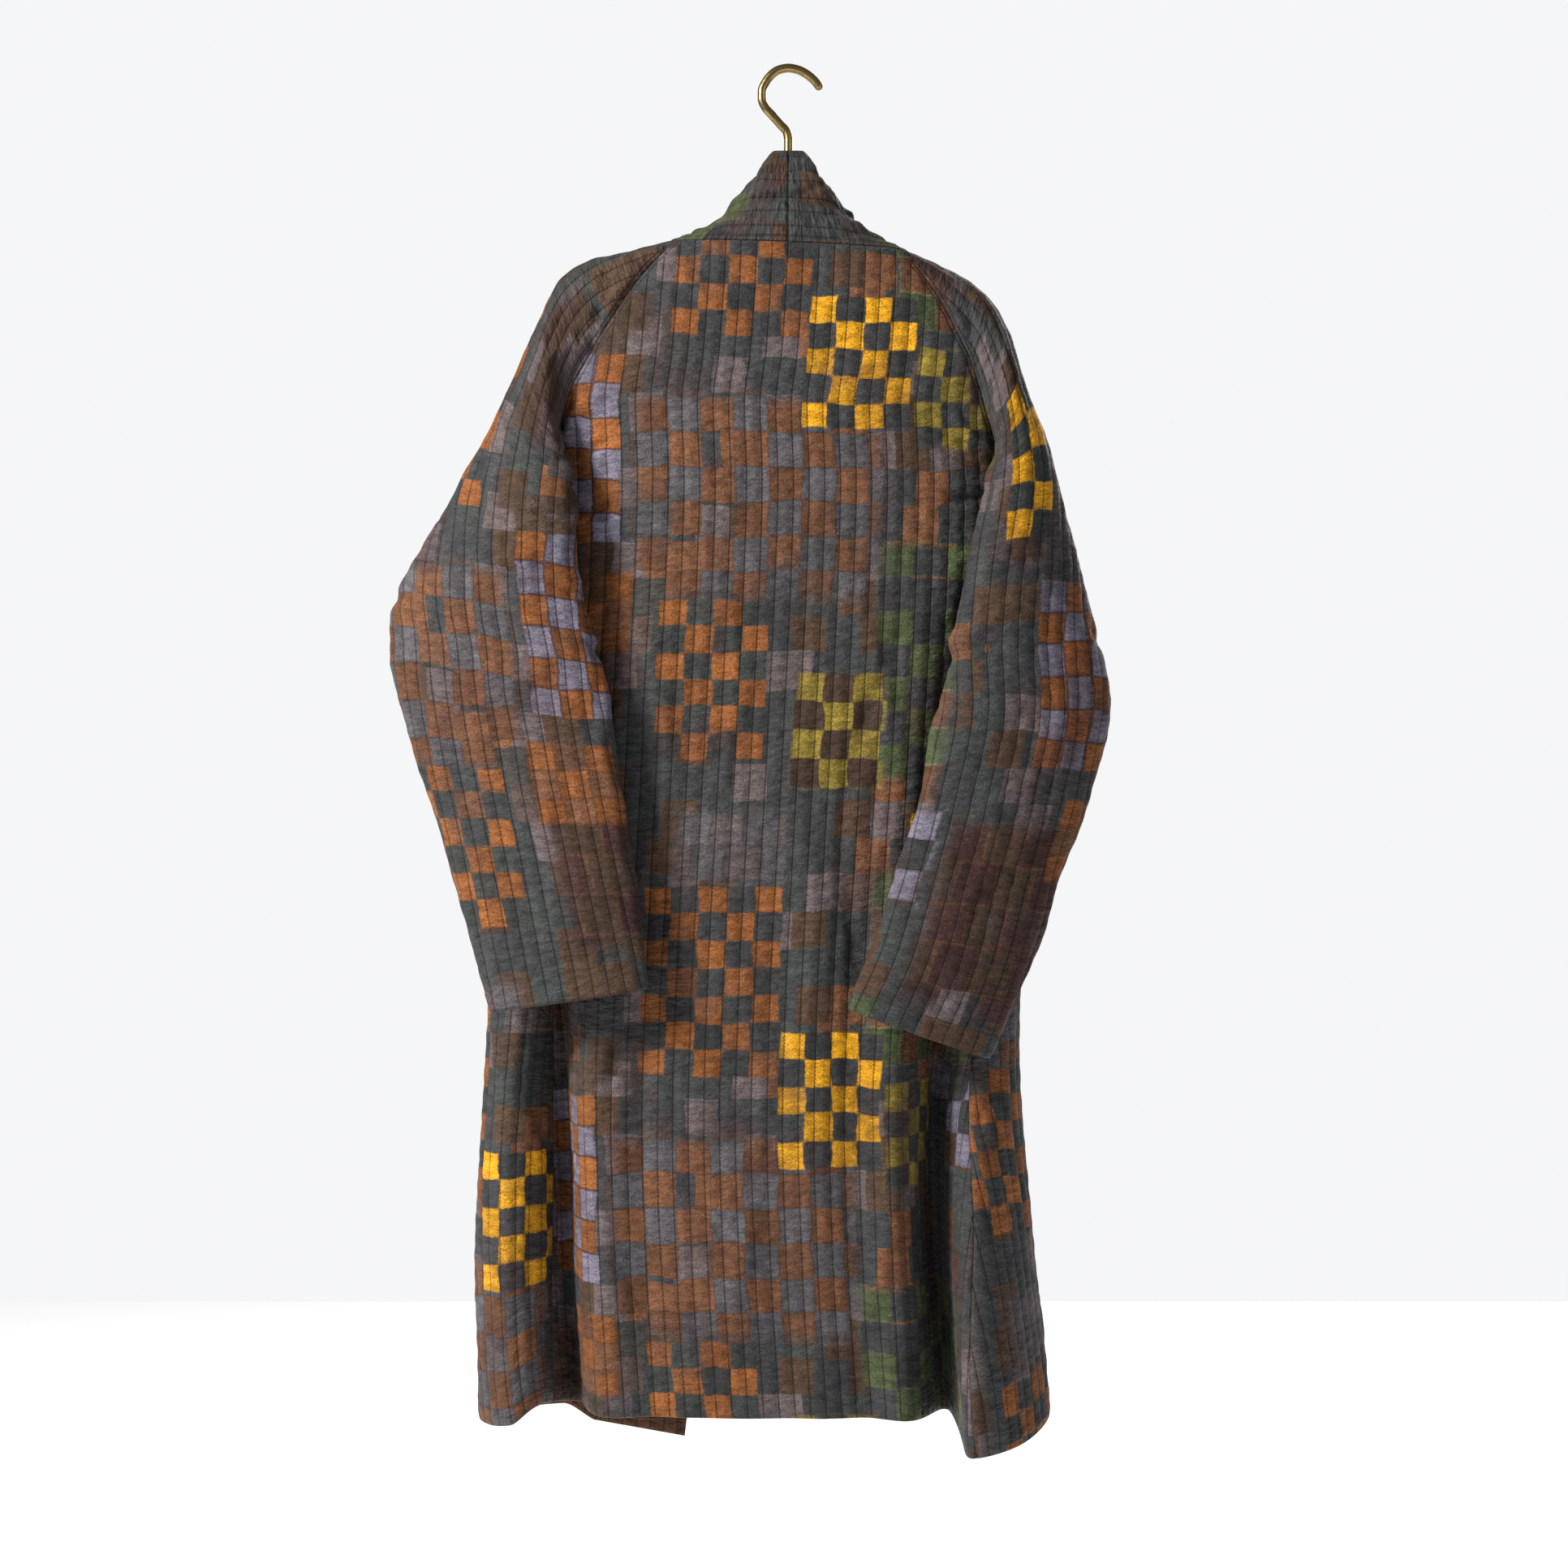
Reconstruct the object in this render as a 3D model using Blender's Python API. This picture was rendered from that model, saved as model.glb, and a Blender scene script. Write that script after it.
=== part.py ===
# Channel-quilted raglan coat with a shawl neck band, hanging open on a brass-hooked hanger.
# The tables are in millimetres. X runs to the wearer's right, -Y is the coat's back and +Z is up.
# The origin is the axis of the peg inside the top of the hook.
import math

import bmesh
import bpy
import numpy as np

MM = 0.001

# Driving sizes
wall_thickness = 2.2
channel_pitch = 14.0
channel_rise = 1.2
seam_half_gap = 0.21
band_gap = 0.5
centre_half_gap = 0.21
sleeve_clearance = 6.0
shortest_step = 2.6
band_width = 92.0
shoulder_tilt = 0.04
tilt_fade = (-200, -420)
bar_radius = 8.0
bar_clearance = 4.0
wire_radius = 4.0
hook_gap = 0.7

# Angles in degrees: edges sharper than this stay sharp, and folds tighter than this keep every inner point
sharp_angle = 55.0
tight_fold = 24.0

# Rows of the cloth grid: the raglan rows are shared by the body and the sleeves
raglan_rows = np.linspace(0.0, 1.0, 9)
body_rows = [-375, -450, -530, -610, -690, -770, -850, -930, -1005, -1080, -1150, -1208]
tube_rows = np.linspace(1.0, 2.0, 13)
rows_between = 4
angle_step = 0.25
loop_steps = 361

# The body as a stack of rounded oblong sections, seen from above
body_columns = ("z", "centre_x", "half_width", "back_depth", "front_depth", "squareness")
body_sections = [
    (-130, 0, 104, 38, 26, 2.1),
    (-158, 0, 130, 44, 32, 2.2),
    (-185, -1, 165, 47, 36, 2.25),
    (-222, -3, 195, 52, 40, 2.3),
    (-262, -6, 214, 55, 42, 2.4),
    (-305, -11, 222, 58, 44, 2.5),
    (-375, -9, 222, 62, 46, 2.6),
    (-450, -11, 222, 66, 47, 2.6),
    (-600, -18, 230, 71, 48, 2.7),
    (-860, -31, 241, 74, 50, 2.7),
    (-950, -33, 243, 75, 50, 2.7),
    (-1060, -30, 247, 75, 50, 2.6),
    (-1215, -21, 251, 75, 50, 2.6),
]

# Folds of the hanging cloth. Place is measured round the section from the centre back, minus is left
fold_columns = ("place_top", "place_hem", "width", "depth", "lean", "z_top", "z_full")
body_folds = [
    (172, 166, 22, -62, 12, -440, -1010),
    (214, 218, 26, 40, -48, -800, -1190),
    (262, 268, 30, 8, 0, -850, -1200),
    (-192, -184, 22, -66, -4, -440, -1010),
    (-226, -226, 26, 14, 4, -800, -1200),
    (-272, -278, 26, 8, 0, -800, -1200),
    (-142, -136, 22, 7, 0, -420, -900),
    (138, 126, 22, 9, 0, -420, -900),
    (104, 92, 16, -6, 0, -480, -900),
    (-104, -100, 18, -5, 0, -520, -960),
    (60, 48, 18, 4, 0, -620, -1050),
    (-12, -14, 30, 4, 0, -800, -1200),
    (-400, -412, 26, 14, 0, -560, -1150),
    (-452, -462, 22, -10, 0, -620, -1150),
    (392, 398, 26, 13, 0, -560, -1150),
    (436, 444, 22, -9, 0, -620, -1150),
]

# How far the hem hangs below its row, round the section
hem_columns = ("angle", "drop")
hem_drop = [
    (-180, 41), (-165, 39), (-150, 31), (-137, 8), (-110, 12), (-75, 14), (-60, 10), (-50, -6),
    (-40, 0), (0, 0), (36, 6), (48, 31), (62, 27), (84, 8), (110, 0), (180, 0),
]
hem_fade = (-1000, -1208)

# The raglan seams, from the neck to the underarm, by their angle round the section
raglan_columns = ("t", "back_z", "back_angle", "front_z", "front_angle")
raglan_seams = [
    (0 / 6, -158, 50.3, -168, 138.0),
    (1 / 6, -187, 47.3, -192, 138.0),
    (2 / 6, -222, 47.7, -226, 135.0),
    (3 / 6, -260, 50.0, -262, 128.0),
    (4 / 6, -298, 54.0, -299, 115.0),
    (5 / 6, -336, 59.0, -337, 93.0),
    (6 / 6, -375, 64.0, -375, 64.0),
]

# Width that the back gains below the underarm, on each side
flare_columns = ("z", "left", "right")
side_flare = [(-375, 0, 0), (-600, 4, 12), (-800, 18, 38), (-900, 30, 62), (-1050, 44, 104), (-1208, 58, 122)]

# The seam of the neck band on the fronts, by its distance from the middle
front_seam_columns = ("z", "left", "right")
front_seam = [
    (-168, -88, 89),
    (-222, -92, 92),
    (-300, -98, 96),
    (-600, -122, 106),
    (-860, -148, 115),
    (-1260, -184, 132),
]
front_side_y = 12

# The outer edge of the neck band round the neck, by length from the centre back
band_columns = ("length", "x", "y", "z", "bow")
band_edge = [
    (0, 0, -14, -70, 6),
    (40, 12, -13, -70, 4),
    (70, 19, -8, -75, -3),
    (100, 26, 4, -92, -10),
    (135, 36, 20, -112, -12),
    (178, 39, 36, -140, -7),
    (212, 34, 44, -172, -3),
    (250, 26, 48, -212, 0),
    (300, 15, 50, -268, 0),
    (380, 8, 51, -350, 0),
]
band_joins_front = (-250, -360)
roll_columns = ("across", "width", "height")
band_rolls = [(22, 8, 2.5), (38, 7, -2.0), (56, 9, 4.5), (70, 6, -4.0)]
rolls_end = (110, 190)
rolls_start_at = 10.0

# The sleeves as flattened loops between an inner and an outer fold line
sleeve_columns = (
    "t", "in_x", "in_y", "in_z", "out_x", "out_y", "out_z", "bulge", "under", "start", "end", "grain",
)
left_sleeve = [
    (0 / 6, -99, -3, -180, -97, -2, -150, 31, 29, 125, 268, 0),
    (1 / 6, -118, -3, -210, -134, -2, -160, 33, 31, 88, 271, 4),
    (2 / 6, -134, -4, -252, -172, -3, -166, 36, 34, 80, 284, 10),
    (3 / 6, -152, -8, -292, -204, -4, -186, 38, 36, 72, 288, 16),
    (4 / 6, -176, -26, -322, -225, -8, -226, 38, 26, 46, 278, 22),
    (5 / 6, -190, -54, -352, -251, -15, -290, 34, 18, -14, 264, 32),
    (1.0, -194, -78, -378, -284, -27, -362, 28, 15, -74, 286, 46),
    (1.15, -188, -84, -448, -327, -35, -432, 28, 9, -56, 304, 76),
    (1.28, -173, -83, -518, -356, -40, -492, 29, 9, -40, 320, 106),
    (1.36, -164, -85, -552, -356, -43, -530, 29, 10, -40, 320, 110),
    (1.50, -151, -89, -620, -335, -49, -612, 28, 10, -40, 320, 98),
    (1.68, -138, -94, -706, -307, -57, -700, 26, 10, -40, 320, 86),
    (1.84, -130, -98, -770, -284, -64, -776, 24, 10, -40, 320, 76),
    (2.00, -124, -101, -826, -266, -70, -848, 22, 10, -40, 320, 70),
]
right_sleeve = [
    (0 / 6, 100, -3, -189, 101, -2, -160, 31, 29, 125, 268, 0),
    (1 / 6, 118, -3, -219, 131, -2, -172, 33, 31, 88, 271, 4),
    (2 / 6, 130, -4, -260, 157, -3, -184, 36, 34, 80, 284, 10),
    (3 / 6, 146, -8, -300, 183, -4, -207, 38, 36, 72, 288, 16),
    (4 / 6, 164, -26, -328, 201, -8, -243, 38, 26, 46, 278, 24),
    (5 / 6, 176, -54, -356, 215, -16, -304, 34, 17, -14, 264, 36),
    (1.0, 175, -79, -384, 236, -29, -372, 28, 14, -76, 284, 48),
    (1.15, 160, -86, -446, 256, -37, -440, 28, 9, -56, 304, 66),
    (1.30, 146, -86, -520, 276, -40, -512, 29, 9, -40, 320, 86),
    (1.42, 134, -90, -576, 287, -45, -580, 29, 10, -40, 320, 92),
    (1.58, 114, -95, -658, 265, -53, -664, 28, 10, -40, 320, 84),
    (1.74, 94, -99, -728, 238, -61, -740, 26, 10, -40, 320, 74),
    (1.88, 72, -103, -790, 210, -70, -818, 24, 10, -40, 320, 64),
    (2.00, 52, -106, -842, 177, -78, -888, 22, 10, -40, 320, 58),
]
underarm_ease = 0.3
loop_squareness = (0.9, 0.95)
seam_reach = (0.5, 0.22)

# Where the sleeve is pushed clear of the body: from this row, below these depths, this far from its seams
clear_from_row = 0.4
clear_depths = (300.0, 330.0)
clear_from_seam = 10.0
section_step = 10.0
section_range = (-900.0, -280.0)

# The brass rod of the hook, from the peg's far side down to the hanger
hook_route = [
    (30, -12), (25, -5), (17.5, 1.6), (9, 6.1), (0, 7.8), (-8, 6.4), (-15, 2.1), (-21, -5.6),
    (-24, -13.4), (-24, -20.5), (-21, -28), (-15, -35), (-7, -44), (-1.2, -51), (0, -58), (0, -75),
]
hook_point_spacing = 6.0
bar_half_length = 163.0
bar_points = 17
bar_y = -2.0
bar_rise_at_hook = 6.0

colours = {
    "quilt": ((0.09, 0.075, 0.07, 1), 0.75, 0.0),
    "brass": ((0.45, 0.33, 0.14, 1), 0.3, 1.0),
    "beech": ((0.42, 0.28, 0.16, 1), 0.5, 0.0),
}


def column(table, names, wanted):
    """One named column of a table, as an array."""
    return np.array([row[names.index(wanted)] for row in table], float)


def smooth_through(keys, values, at):
    """A curve through the values that doesn't overshoot them, read at the given keys."""
    if keys[0] > keys[-1]:
        keys, values = keys[::-1], values[::-1]
    steps = np.diff(keys)
    slopes = np.diff(values) / steps
    product = slopes[:-1] * slopes[1:]
    total = np.where(product > 0, slopes[:-1] + slopes[1:], 1.0)
    inner = np.where(product > 0, 2 * product / total, 0.0)
    tangents = np.concatenate([[slopes[0]], inner, [slopes[-1]]])
    at = np.clip(np.asarray(at, float), keys[0], keys[-1])
    i = np.clip(np.searchsorted(keys, at, side="right") - 1, 0, len(keys) - 2)
    u = (at - keys[i]) / steps[i]
    start = (1 + 2 * u) * (1 - u) ** 2 * values[i] + u * (1 - u) ** 2 * steps[i] * tangents[i]
    end = u * u * (3 - 2 * u) * values[i + 1] + u * u * (u - 1) * steps[i] * tangents[i + 1]
    return start + end


def read(table, names, key, wanted, at):
    """A named column of a table as a smooth function of its key column."""
    return smooth_through(column(table, names, key), column(table, names, wanted), at)


def ramp(value, start, end):
    """0 before start and 1 after end, with a soft step between them."""
    u = np.clip((value - start) / (end - start), 0.0, 1.0)
    return u * u * (3 - 2 * u)


def power(value, exponent):
    return np.sign(value) * np.abs(value) ** exponent


def unit(vectors):
    return vectors / np.maximum(np.linalg.norm(vectors, axis=-1, keepdims=True), 1e-9)


def lengths_along(points):
    """Length along each row of a grid of points, from its first point."""
    steps = np.linalg.norm(np.diff(points, axis=1), axis=-1)
    return np.concatenate([np.zeros((len(points), 1)), np.cumsum(steps, axis=1)], axis=1)


def finer(rows):
    """The rows with others set evenly between them, so that slopes can be taken."""
    places = np.arange((len(rows) - 1) * rows_between + 1) / rows_between
    return np.interp(places, np.arange(len(rows)), rows)


def grid_normals(points, sign):
    return unit(np.cross(np.gradient(points, axis=0), np.gradient(points, axis=1)) * sign)


def body_angles():
    count = int(round(400 / angle_step))
    return np.linspace(-200.0, 200.0, count + 1)


def body_points(z_rows):
    """The body's cloth at each height: an oblong section, pushed out and in by the folds."""
    angles = body_angles()[None, :]
    turn = np.radians(angles)
    z = np.asarray(z_rows, float)[:, None]
    size = {name: read(body_sections, body_columns, "z", name, z) for name in body_columns[1:]}
    exponent = 2 / size["squareness"]
    depth = np.where(np.cos(turn) > 0, size["back_depth"], size["front_depth"])
    x = size["centre_x"] + size["half_width"] * power(np.sin(turn), exponent)
    y = -depth * power(np.cos(turn), exponent)
    flat = np.stack([x, y, np.zeros_like(x)], axis=-1)
    length = lengths_along(flat)
    length = length - length[:, flat.shape[1] // 2][:, None]
    tangent = unit(np.gradient(flat, axis=1))
    outward = np.stack([tangent[..., 1], -tangent[..., 0], tangent[..., 2]], axis=-1)
    moved = flat.copy()
    for top, hem, width, height, lean, z_top, z_full in body_folds:
        grown = ramp(z, z_top, z_full)
        bump = np.exp(-(((length - (top + (hem - top) * grown)) / width) ** 2)) * grown
        moved += outward * (height * bump)[..., None] + tangent * (lean * bump)[..., None]
    drop = read(hem_drop, hem_columns, "angle", "drop", angles) * ramp(z, *hem_fade)
    tilt = shoulder_tilt * x * (1 - ramp(z, *tilt_fade))
    moved[..., 2] = z - drop - tilt
    return moved


def body_surface(z_rows):
    """Points, outward normals and lengths from the centre back, on finer rows, then at the rows asked for."""
    points = body_points(finer(z_rows))
    normals = grid_normals(points, 1)
    points, normals = points[::rows_between], normals[::rows_between]
    length = lengths_along(points)
    middle = points.shape[1] // 2
    return {"points": points, "normals": normals, "length": length - length[:, middle][:, None]}


def place_at(surface, row, places):
    """Points and normals of one row of a surface at the given lengths."""
    length = surface["length"][row]
    found = []
    for field in (surface["points"][row], surface["normals"][row]):
        found.append(np.stack([np.interp(places, length, field[:, k]) for k in range(3)], axis=-1))
    return found[0], unit(found[1])


def length_at_angle(surface, row, angle):
    return float(np.interp(angle, body_angles(), surface["length"][row]))


def length_at_front_x(surface, row, x, side):
    """Where a row of the body crosses a given X on its front, on one side."""
    points, length = surface["points"][row], surface["length"][row]
    front = (points[:, 1] > front_side_y) & (side * length > 0)
    order = np.argsort(points[front, 0])
    return float(np.interp(x, points[front, 0][order], length[front][order]))


def seam_points(t_rows, side, which):
    """The raglan seam's points on the body."""
    z_rows = read(raglan_seams, raglan_columns, "t", which + "_z", t_rows)
    angles = side * read(raglan_seams, raglan_columns, "t", which + "_angle", t_rows)
    found = []
    for angle, row in zip(angles, body_points(z_rows)):
        found.append([np.interp(angle, body_angles(), row[:, k]) for k in range(3)])
    return np.array(found)


def clear_of_body(loops, t):
    """The sleeve's loops, pushed out of the body's surface where they lie too close to it."""
    heights = np.arange(*section_range, section_step)
    sections = body_points(heights)[:, ::4, :2]
    along = lengths_along(loops)
    from_seam = np.minimum(along, along[:, -1:] - along)
    near_seam = np.clip(from_seam / clear_from_seam, 0.0, 1.0)
    loose = np.maximum(near_seam, ramp(t, 1.0, 1.0 + underarm_ease)[:, None])
    for row in np.flatnonzero(t > clear_from_row):
        points = loops[row]
        level = np.clip((points[:, 2] - heights[0]) / section_step, 0.0, len(heights) - 1.001)
        lower = level.astype(int)
        share = (level - lower)[:, None, None]
        section = sections[lower] * (1 - share) + sections[lower + 1] * share
        nearest = np.argmin(((section - points[:, None, :2]) ** 2).sum(axis=-1), axis=1)
        nearest = np.clip(nearest, 1, section.shape[1] - 2)
        each = np.arange(len(points))
        tangent = unit(section[each, nearest + 1] - section[each, nearest - 1])
        outward = np.stack([tangent[:, 1], -tangent[:, 0]], axis=-1)
        distance = np.einsum("ij,ij->i", points[:, :2] - section[each, nearest], outward)
        push = np.maximum(0.0, sleeve_clearance * loose[row] - distance) * ramp(-points[:, 2], *clear_depths)
        points[:, :2] += outward * push[:, None]
    return loops


def sleeve_surface(table, side, t_rows):
    """A sleeve from neck to cuff: loops between its fold lines, drawn to the raglan seams at the top."""
    t = finer(t_rows)
    value = {name: read(table, sleeve_columns, "t", name, t)[:, None] for name in sleeve_columns[1:]}
    inner = np.concatenate([value["in_x"], value["in_y"], value["in_z"]], axis=1)[:, None, :]
    outer = np.concatenate([value["out_x"], value["out_y"], value["out_z"]], axis=1)[:, None, :]
    share = np.linspace(0.0, 1.0, loop_steps)[None, :]
    turn = np.radians(value["start"] + (value["end"] - value["start"]) * share)
    across = unit(outer - inner)
    towards_back = np.array([0.0, -1.0, 0.0]) + across * across[..., 1:2]
    towards_back = unit(towards_back)
    bulge = np.where(np.sin(turn) > 0, value["bulge"], value["under"])
    loop = (inner + outer) / 2 + (inner - outer) / 2 * power(np.cos(turn), loop_squareness[0])[..., None]
    loop = loop + towards_back * (bulge * power(np.sin(turn), loop_squareness[1]))[..., None]
    on_body = np.clip(t, 0.0, 1.0)
    reach = seam_reach[0] + (seam_reach[1] - seam_reach[0]) * ramp(t, 0.5, 1.0)[:, None]
    fade = (1 - ramp(t, 1.0, 1.0 + underarm_ease))[:, None]
    for which, end, distance in (("back", 0, share), ("front", -1, 1 - share)):
        wanted = seam_points(on_body, side, which)
        at_underarm = loop[np.argmin(np.abs(t - 1.0)), end]
        pull = np.where(t[:, None] <= 1.0, wanted - loop[:, end], wanted - at_underarm) * fade
        weight = 1 - ramp(distance, 0.0, reach)
        loop = loop + pull[:, None, :] * weight[..., None]
    loop = clear_of_body(loop, t)
    normals = grid_normals(loop, side)
    points, normals = loop[::rows_between], normals[::rows_between]
    length = lengths_along(points)
    turn_rows, grain = turn[::rows_between], value["grain"][::rows_between, 0]
    at_outer = np.array([np.interp(math.pi, a, b) for a, b in zip(turn_rows, length)])
    return {"points": points, "normals": normals, "length": length - (at_outer - grain)[:, None]}


def chain(low, high, step):
    """Places across a panel: its two seams, and each multiple of the step that is clear of them."""
    first = math.ceil((low + shortest_step) / step)
    last = math.floor((high - shortest_step) / step)
    inner = [k * step for k in range(first, last + 1)]
    return np.array([low] + inner + [high])


def panel_row(surface, row, low, high, low_normal=None, high_normal=None, from_seam=None):
    """One row of a quilted panel: raised points outside, plain points inside."""
    half = channel_pitch / 2
    origin = 0.0 if from_seam is None else from_seam
    outer_at = chain(low - origin, high - origin, half)
    points, normals = place_at(surface, row, outer_at + origin)
    if low_normal is not None:
        normals[0] = low_normal
    if high_normal is not None:
        normals[-1] = high_normal
    crest = np.abs(np.round(outer_at / half)).astype(int) % 2 == 1
    crest &= (outer_at - outer_at[0] > half) & (outer_at[-1] - outer_at > half)
    inside = points - normals * wall_thickness
    outside = points + normals * (channel_rise * crest)[:, None]
    keep = ~crest
    turns = np.einsum("ij,ij->i", normals[:-2], normals[2:])
    keep[1:-1] |= turns < math.cos(math.radians(tight_fold))
    return {"outer": (outer_at, outside), "inner": (outer_at[keep], inside[keep])}


def strip(upper, lower):
    """Triangles between two chains of (place, vertex number), both in order of place."""
    a, b, faces = 0, 0, []
    while a < len(upper) - 1 or b < len(lower) - 1:
        next_upper = upper[a + 1][0] if a < len(upper) - 1 else math.inf
        next_lower = lower[b + 1][0] if b < len(lower) - 1 else math.inf
        if next_upper <= next_lower:
            faces.append((upper[a][1], lower[b][1], upper[a + 1][1]))
            a += 1
        else:
            faces.append((upper[a][1], lower[b][1], lower[b + 1][1]))
            b += 1
    return faces


def closed_wall(rows):
    """A closed wall from rows that each have an outer and an inner chain of points."""
    vertices, outer, inner = [], [], []
    for row in rows:
        for chains, key in ((outer, "outer"), (inner, "inner")):
            places, points = row[key]
            chains.append([(place, len(vertices) + k) for k, place in enumerate(places)])
            vertices.extend(points * MM)
    rings = outer + inner[::-1]
    faces = []
    for k, ring in enumerate(rings):
        faces.extend(strip(ring, rings[(k + 1) % len(rings)]))
    for k in range(len(rows) - 1):
        for end, order in ((0, 1), (-1, -1)):
            side = (outer[k + 1][end][1], outer[k][end][1], inner[k][end][1], inner[k + 1][end][1])
            faces.append(side[::order])
    return np.array(vertices), faces


def add_solid(name, vertices, faces, finish):
    mesh = bpy.data.meshes.new(name)
    mesh.from_pydata([tuple(v) for v in vertices], [], faces)
    shape = bmesh.new()
    shape.from_mesh(mesh)
    bmesh.ops.triangulate(shape, faces=shape.faces[:])
    if shape.calc_volume(signed=True) < 0:
        bmesh.ops.reverse_faces(shape, faces=shape.faces[:])
    shape.to_mesh(mesh)
    shape.free()
    mesh.shade_smooth()
    mesh.set_sharp_from_angle(angle=math.radians(sharp_angle))
    mesh.materials.append(finish)
    piece = bpy.data.objects.new(name, mesh)
    coat_collection.objects.link(piece)
    return piece


def add_rod(name, route, radius, finish, bevel_resolution):
    """A round rod along a smooth route, with closed ends."""
    curve = bpy.data.curves.new(name, "CURVE")
    curve.dimensions = "3D"
    curve.bevel_depth = radius * MM
    curve.bevel_resolution = bevel_resolution
    curve.use_fill_caps = True
    spline = curve.splines.new("POLY")
    spline.points.add(len(route) - 1)
    for point, place in zip(spline.points, route):
        point.co = (place[0] * MM, place[1] * MM, place[2] * MM, 1)
    curve.materials.append(finish)
    piece = bpy.data.objects.new(name, curve)
    coat_collection.objects.link(piece)
    return piece


def shared_normal(own, other):
    """The direction in which both walls at a seam are cut, or its own where they fold sharply together."""
    closeness = ramp(np.einsum("ij,ij->i", own, other), 0.0, 0.5)
    return unit(own + other * closeness[:, None])


def evened(points, spacing):
    """Points a set distance apart on a smooth curve through the given ones."""
    points = np.asarray(points, float)
    keys = np.concatenate([[0], np.cumsum(np.linalg.norm(np.diff(points, axis=0), axis=1))])
    count = int(round(keys[-1] / spacing)) + 1
    at = np.linspace(0, keys[-1], count)
    return np.stack([smooth_through(keys, points[:, k], at) for k in range(points.shape[1])], axis=-1)


def make_finish(name):
    colour, roughness, metallic = colours[name]
    finish = bpy.data.materials.new(name)
    finish.use_nodes = True
    shader = finish.node_tree.nodes["Principled BSDF"]
    shader.inputs["Base Color"].default_value = colour
    shader.inputs["Roughness"].default_value = roughness
    shader.inputs["Metallic"].default_value = metallic
    return finish


def side_values(names, table, side, z):
    return read(table, names, "z", "left" if side < 0 else "right", z)


def build_body(sleeves):
    """The back and the two fronts. Returns the neck edge's points and normals on each side."""
    back_z = np.concatenate([read(raglan_seams, raglan_columns, "t", "back_z", raglan_rows), body_rows[1:]])
    front_z = np.concatenate([read(raglan_seams, raglan_columns, "t", "front_z", raglan_rows), body_rows[1:]])
    back, front = body_surface(back_z), body_surface(front_z)
    raglan_count = len(raglan_rows)
    seams = {}
    for side in (-1, 1):
        underarm = length_at_angle(back, raglan_count - 1, side * raglan_seams[-1][2])
        back_at, front_at = [], []
        for row, z in enumerate(back_z):
            if row < raglan_count:
                t = raglan_rows[row]
                back_angle = read(raglan_seams, raglan_columns, "t", "back_angle", t)
                front_angle = read(raglan_seams, raglan_columns, "t", "front_angle", t)
                back_at.append(length_at_angle(back, row, side * back_angle))
                front_at.append(length_at_angle(front, row, side * front_angle))
            else:
                edge = underarm + side * side_values(flare_columns, side_flare, side, z)
                back_at.append(edge)
                front_at.append(edge)
        seams[side] = (back_at, front_at)
    cut = {}
    for side in (-1, 1):
        sleeve = sleeves[side]
        back_at, front_at = seams[side]
        for which, surface, at, end in (("back", back, back_at, 0), ("front", front, front_at, -1)):
            own = np.array([place_at(surface, r, np.array([at[r]]))[1][0] for r in range(raglan_count)])
            other = sleeve["normals"][:raglan_count, end]
            cut[side, which] = shared_normal(own, other)
            sleeve["cut_" + which] = shared_normal(other, own)
    rows = []
    for row in range(len(back_z)):
        low, high = seams[-1][0][row] + seam_half_gap, seams[1][0][row] - seam_half_gap
        shared = row < raglan_count
        low_normal = cut[-1, "back"][row] if shared else None
        high_normal = cut[1, "back"][row] if shared else None
        rows.append(panel_row(back, row, low, high, low_normal, high_normal))
    add_solid("back_panel", *closed_wall(rows), quilt)
    neck = {}
    back_points, back_normals = place_at(back, 0, rows[0]["outer"][0])
    back_normals[0], back_normals[-1] = cut[-1, "back"][0], cut[1, "back"][0]
    for side, name in ((-1, "left"), (1, "right")):
        rows, band_start, band_normals, band_free = [], [], [], []
        for row in range(len(front_z)):
            z = front_z[row]
            seam_x = side_values(front_seam_columns, front_seam, side, z)
            band_at = length_at_front_x(front, row, seam_x, side)
            outer_at = seams[side][1][row]
            near, far = sorted((outer_at + side * seam_half_gap, band_at - side * seam_half_gap))
            shared = cut[side, "front"][row] if row < raglan_count else None
            ends = (shared, None) if side > 0 else (None, shared)
            rows.append(panel_row(front, row, near, far, ends[0], ends[1], from_seam=band_at))
            point, normal = place_at(front, row, np.array([band_at]))
            free, _ = place_at(front, row, np.array([band_at + side * band_width]))
            band_start.append(point[0])
            band_normals.append(normal[0])
            band_free.append(free[0])
        add_solid("front_panel_" + name, *closed_wall(rows), quilt)
        half = back_points[:, 0] * side > 1.0
        order = slice(None) if side > 0 else slice(None, None, -1)
        neck[side] = {
            "back": (back_points[half][order], back_normals[half][order]),
            "front": (np.array(band_start), np.array(band_normals), np.array(band_free)),
        }
    centre, centre_facing = place_at(back, 0, np.array([0.0]))
    return neck, centre[0], centre_facing[0]


def build_sleeve(name, surface):
    rows = []
    for row in range(len(surface["points"])):
        length = surface["length"][row]
        low, high = length[0] + seam_half_gap, length[-1] - seam_half_gap
        shared = row < len(raglan_rows)
        low_normal = surface["cut_back"][row] if shared else None
        high_normal = surface["cut_front"][row] if shared else None
        rows.append(panel_row(surface, row, low, high, low_normal, high_normal))
    add_solid(name, *closed_wall(rows), quilt)
    return rows


def evened_normals(points, towards):
    """Normals of a grid on the given side, each averaged with the rows beside it."""
    face = grid_normals(points, 1)
    if np.einsum("ijk,ik->", face, towards) < 0:
        face = -face
    for _ in range(2):
        face[1:-1] = (face[:-2] + 2 * face[1:-1] + face[2:]) / 4
    return unit(face)


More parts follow.
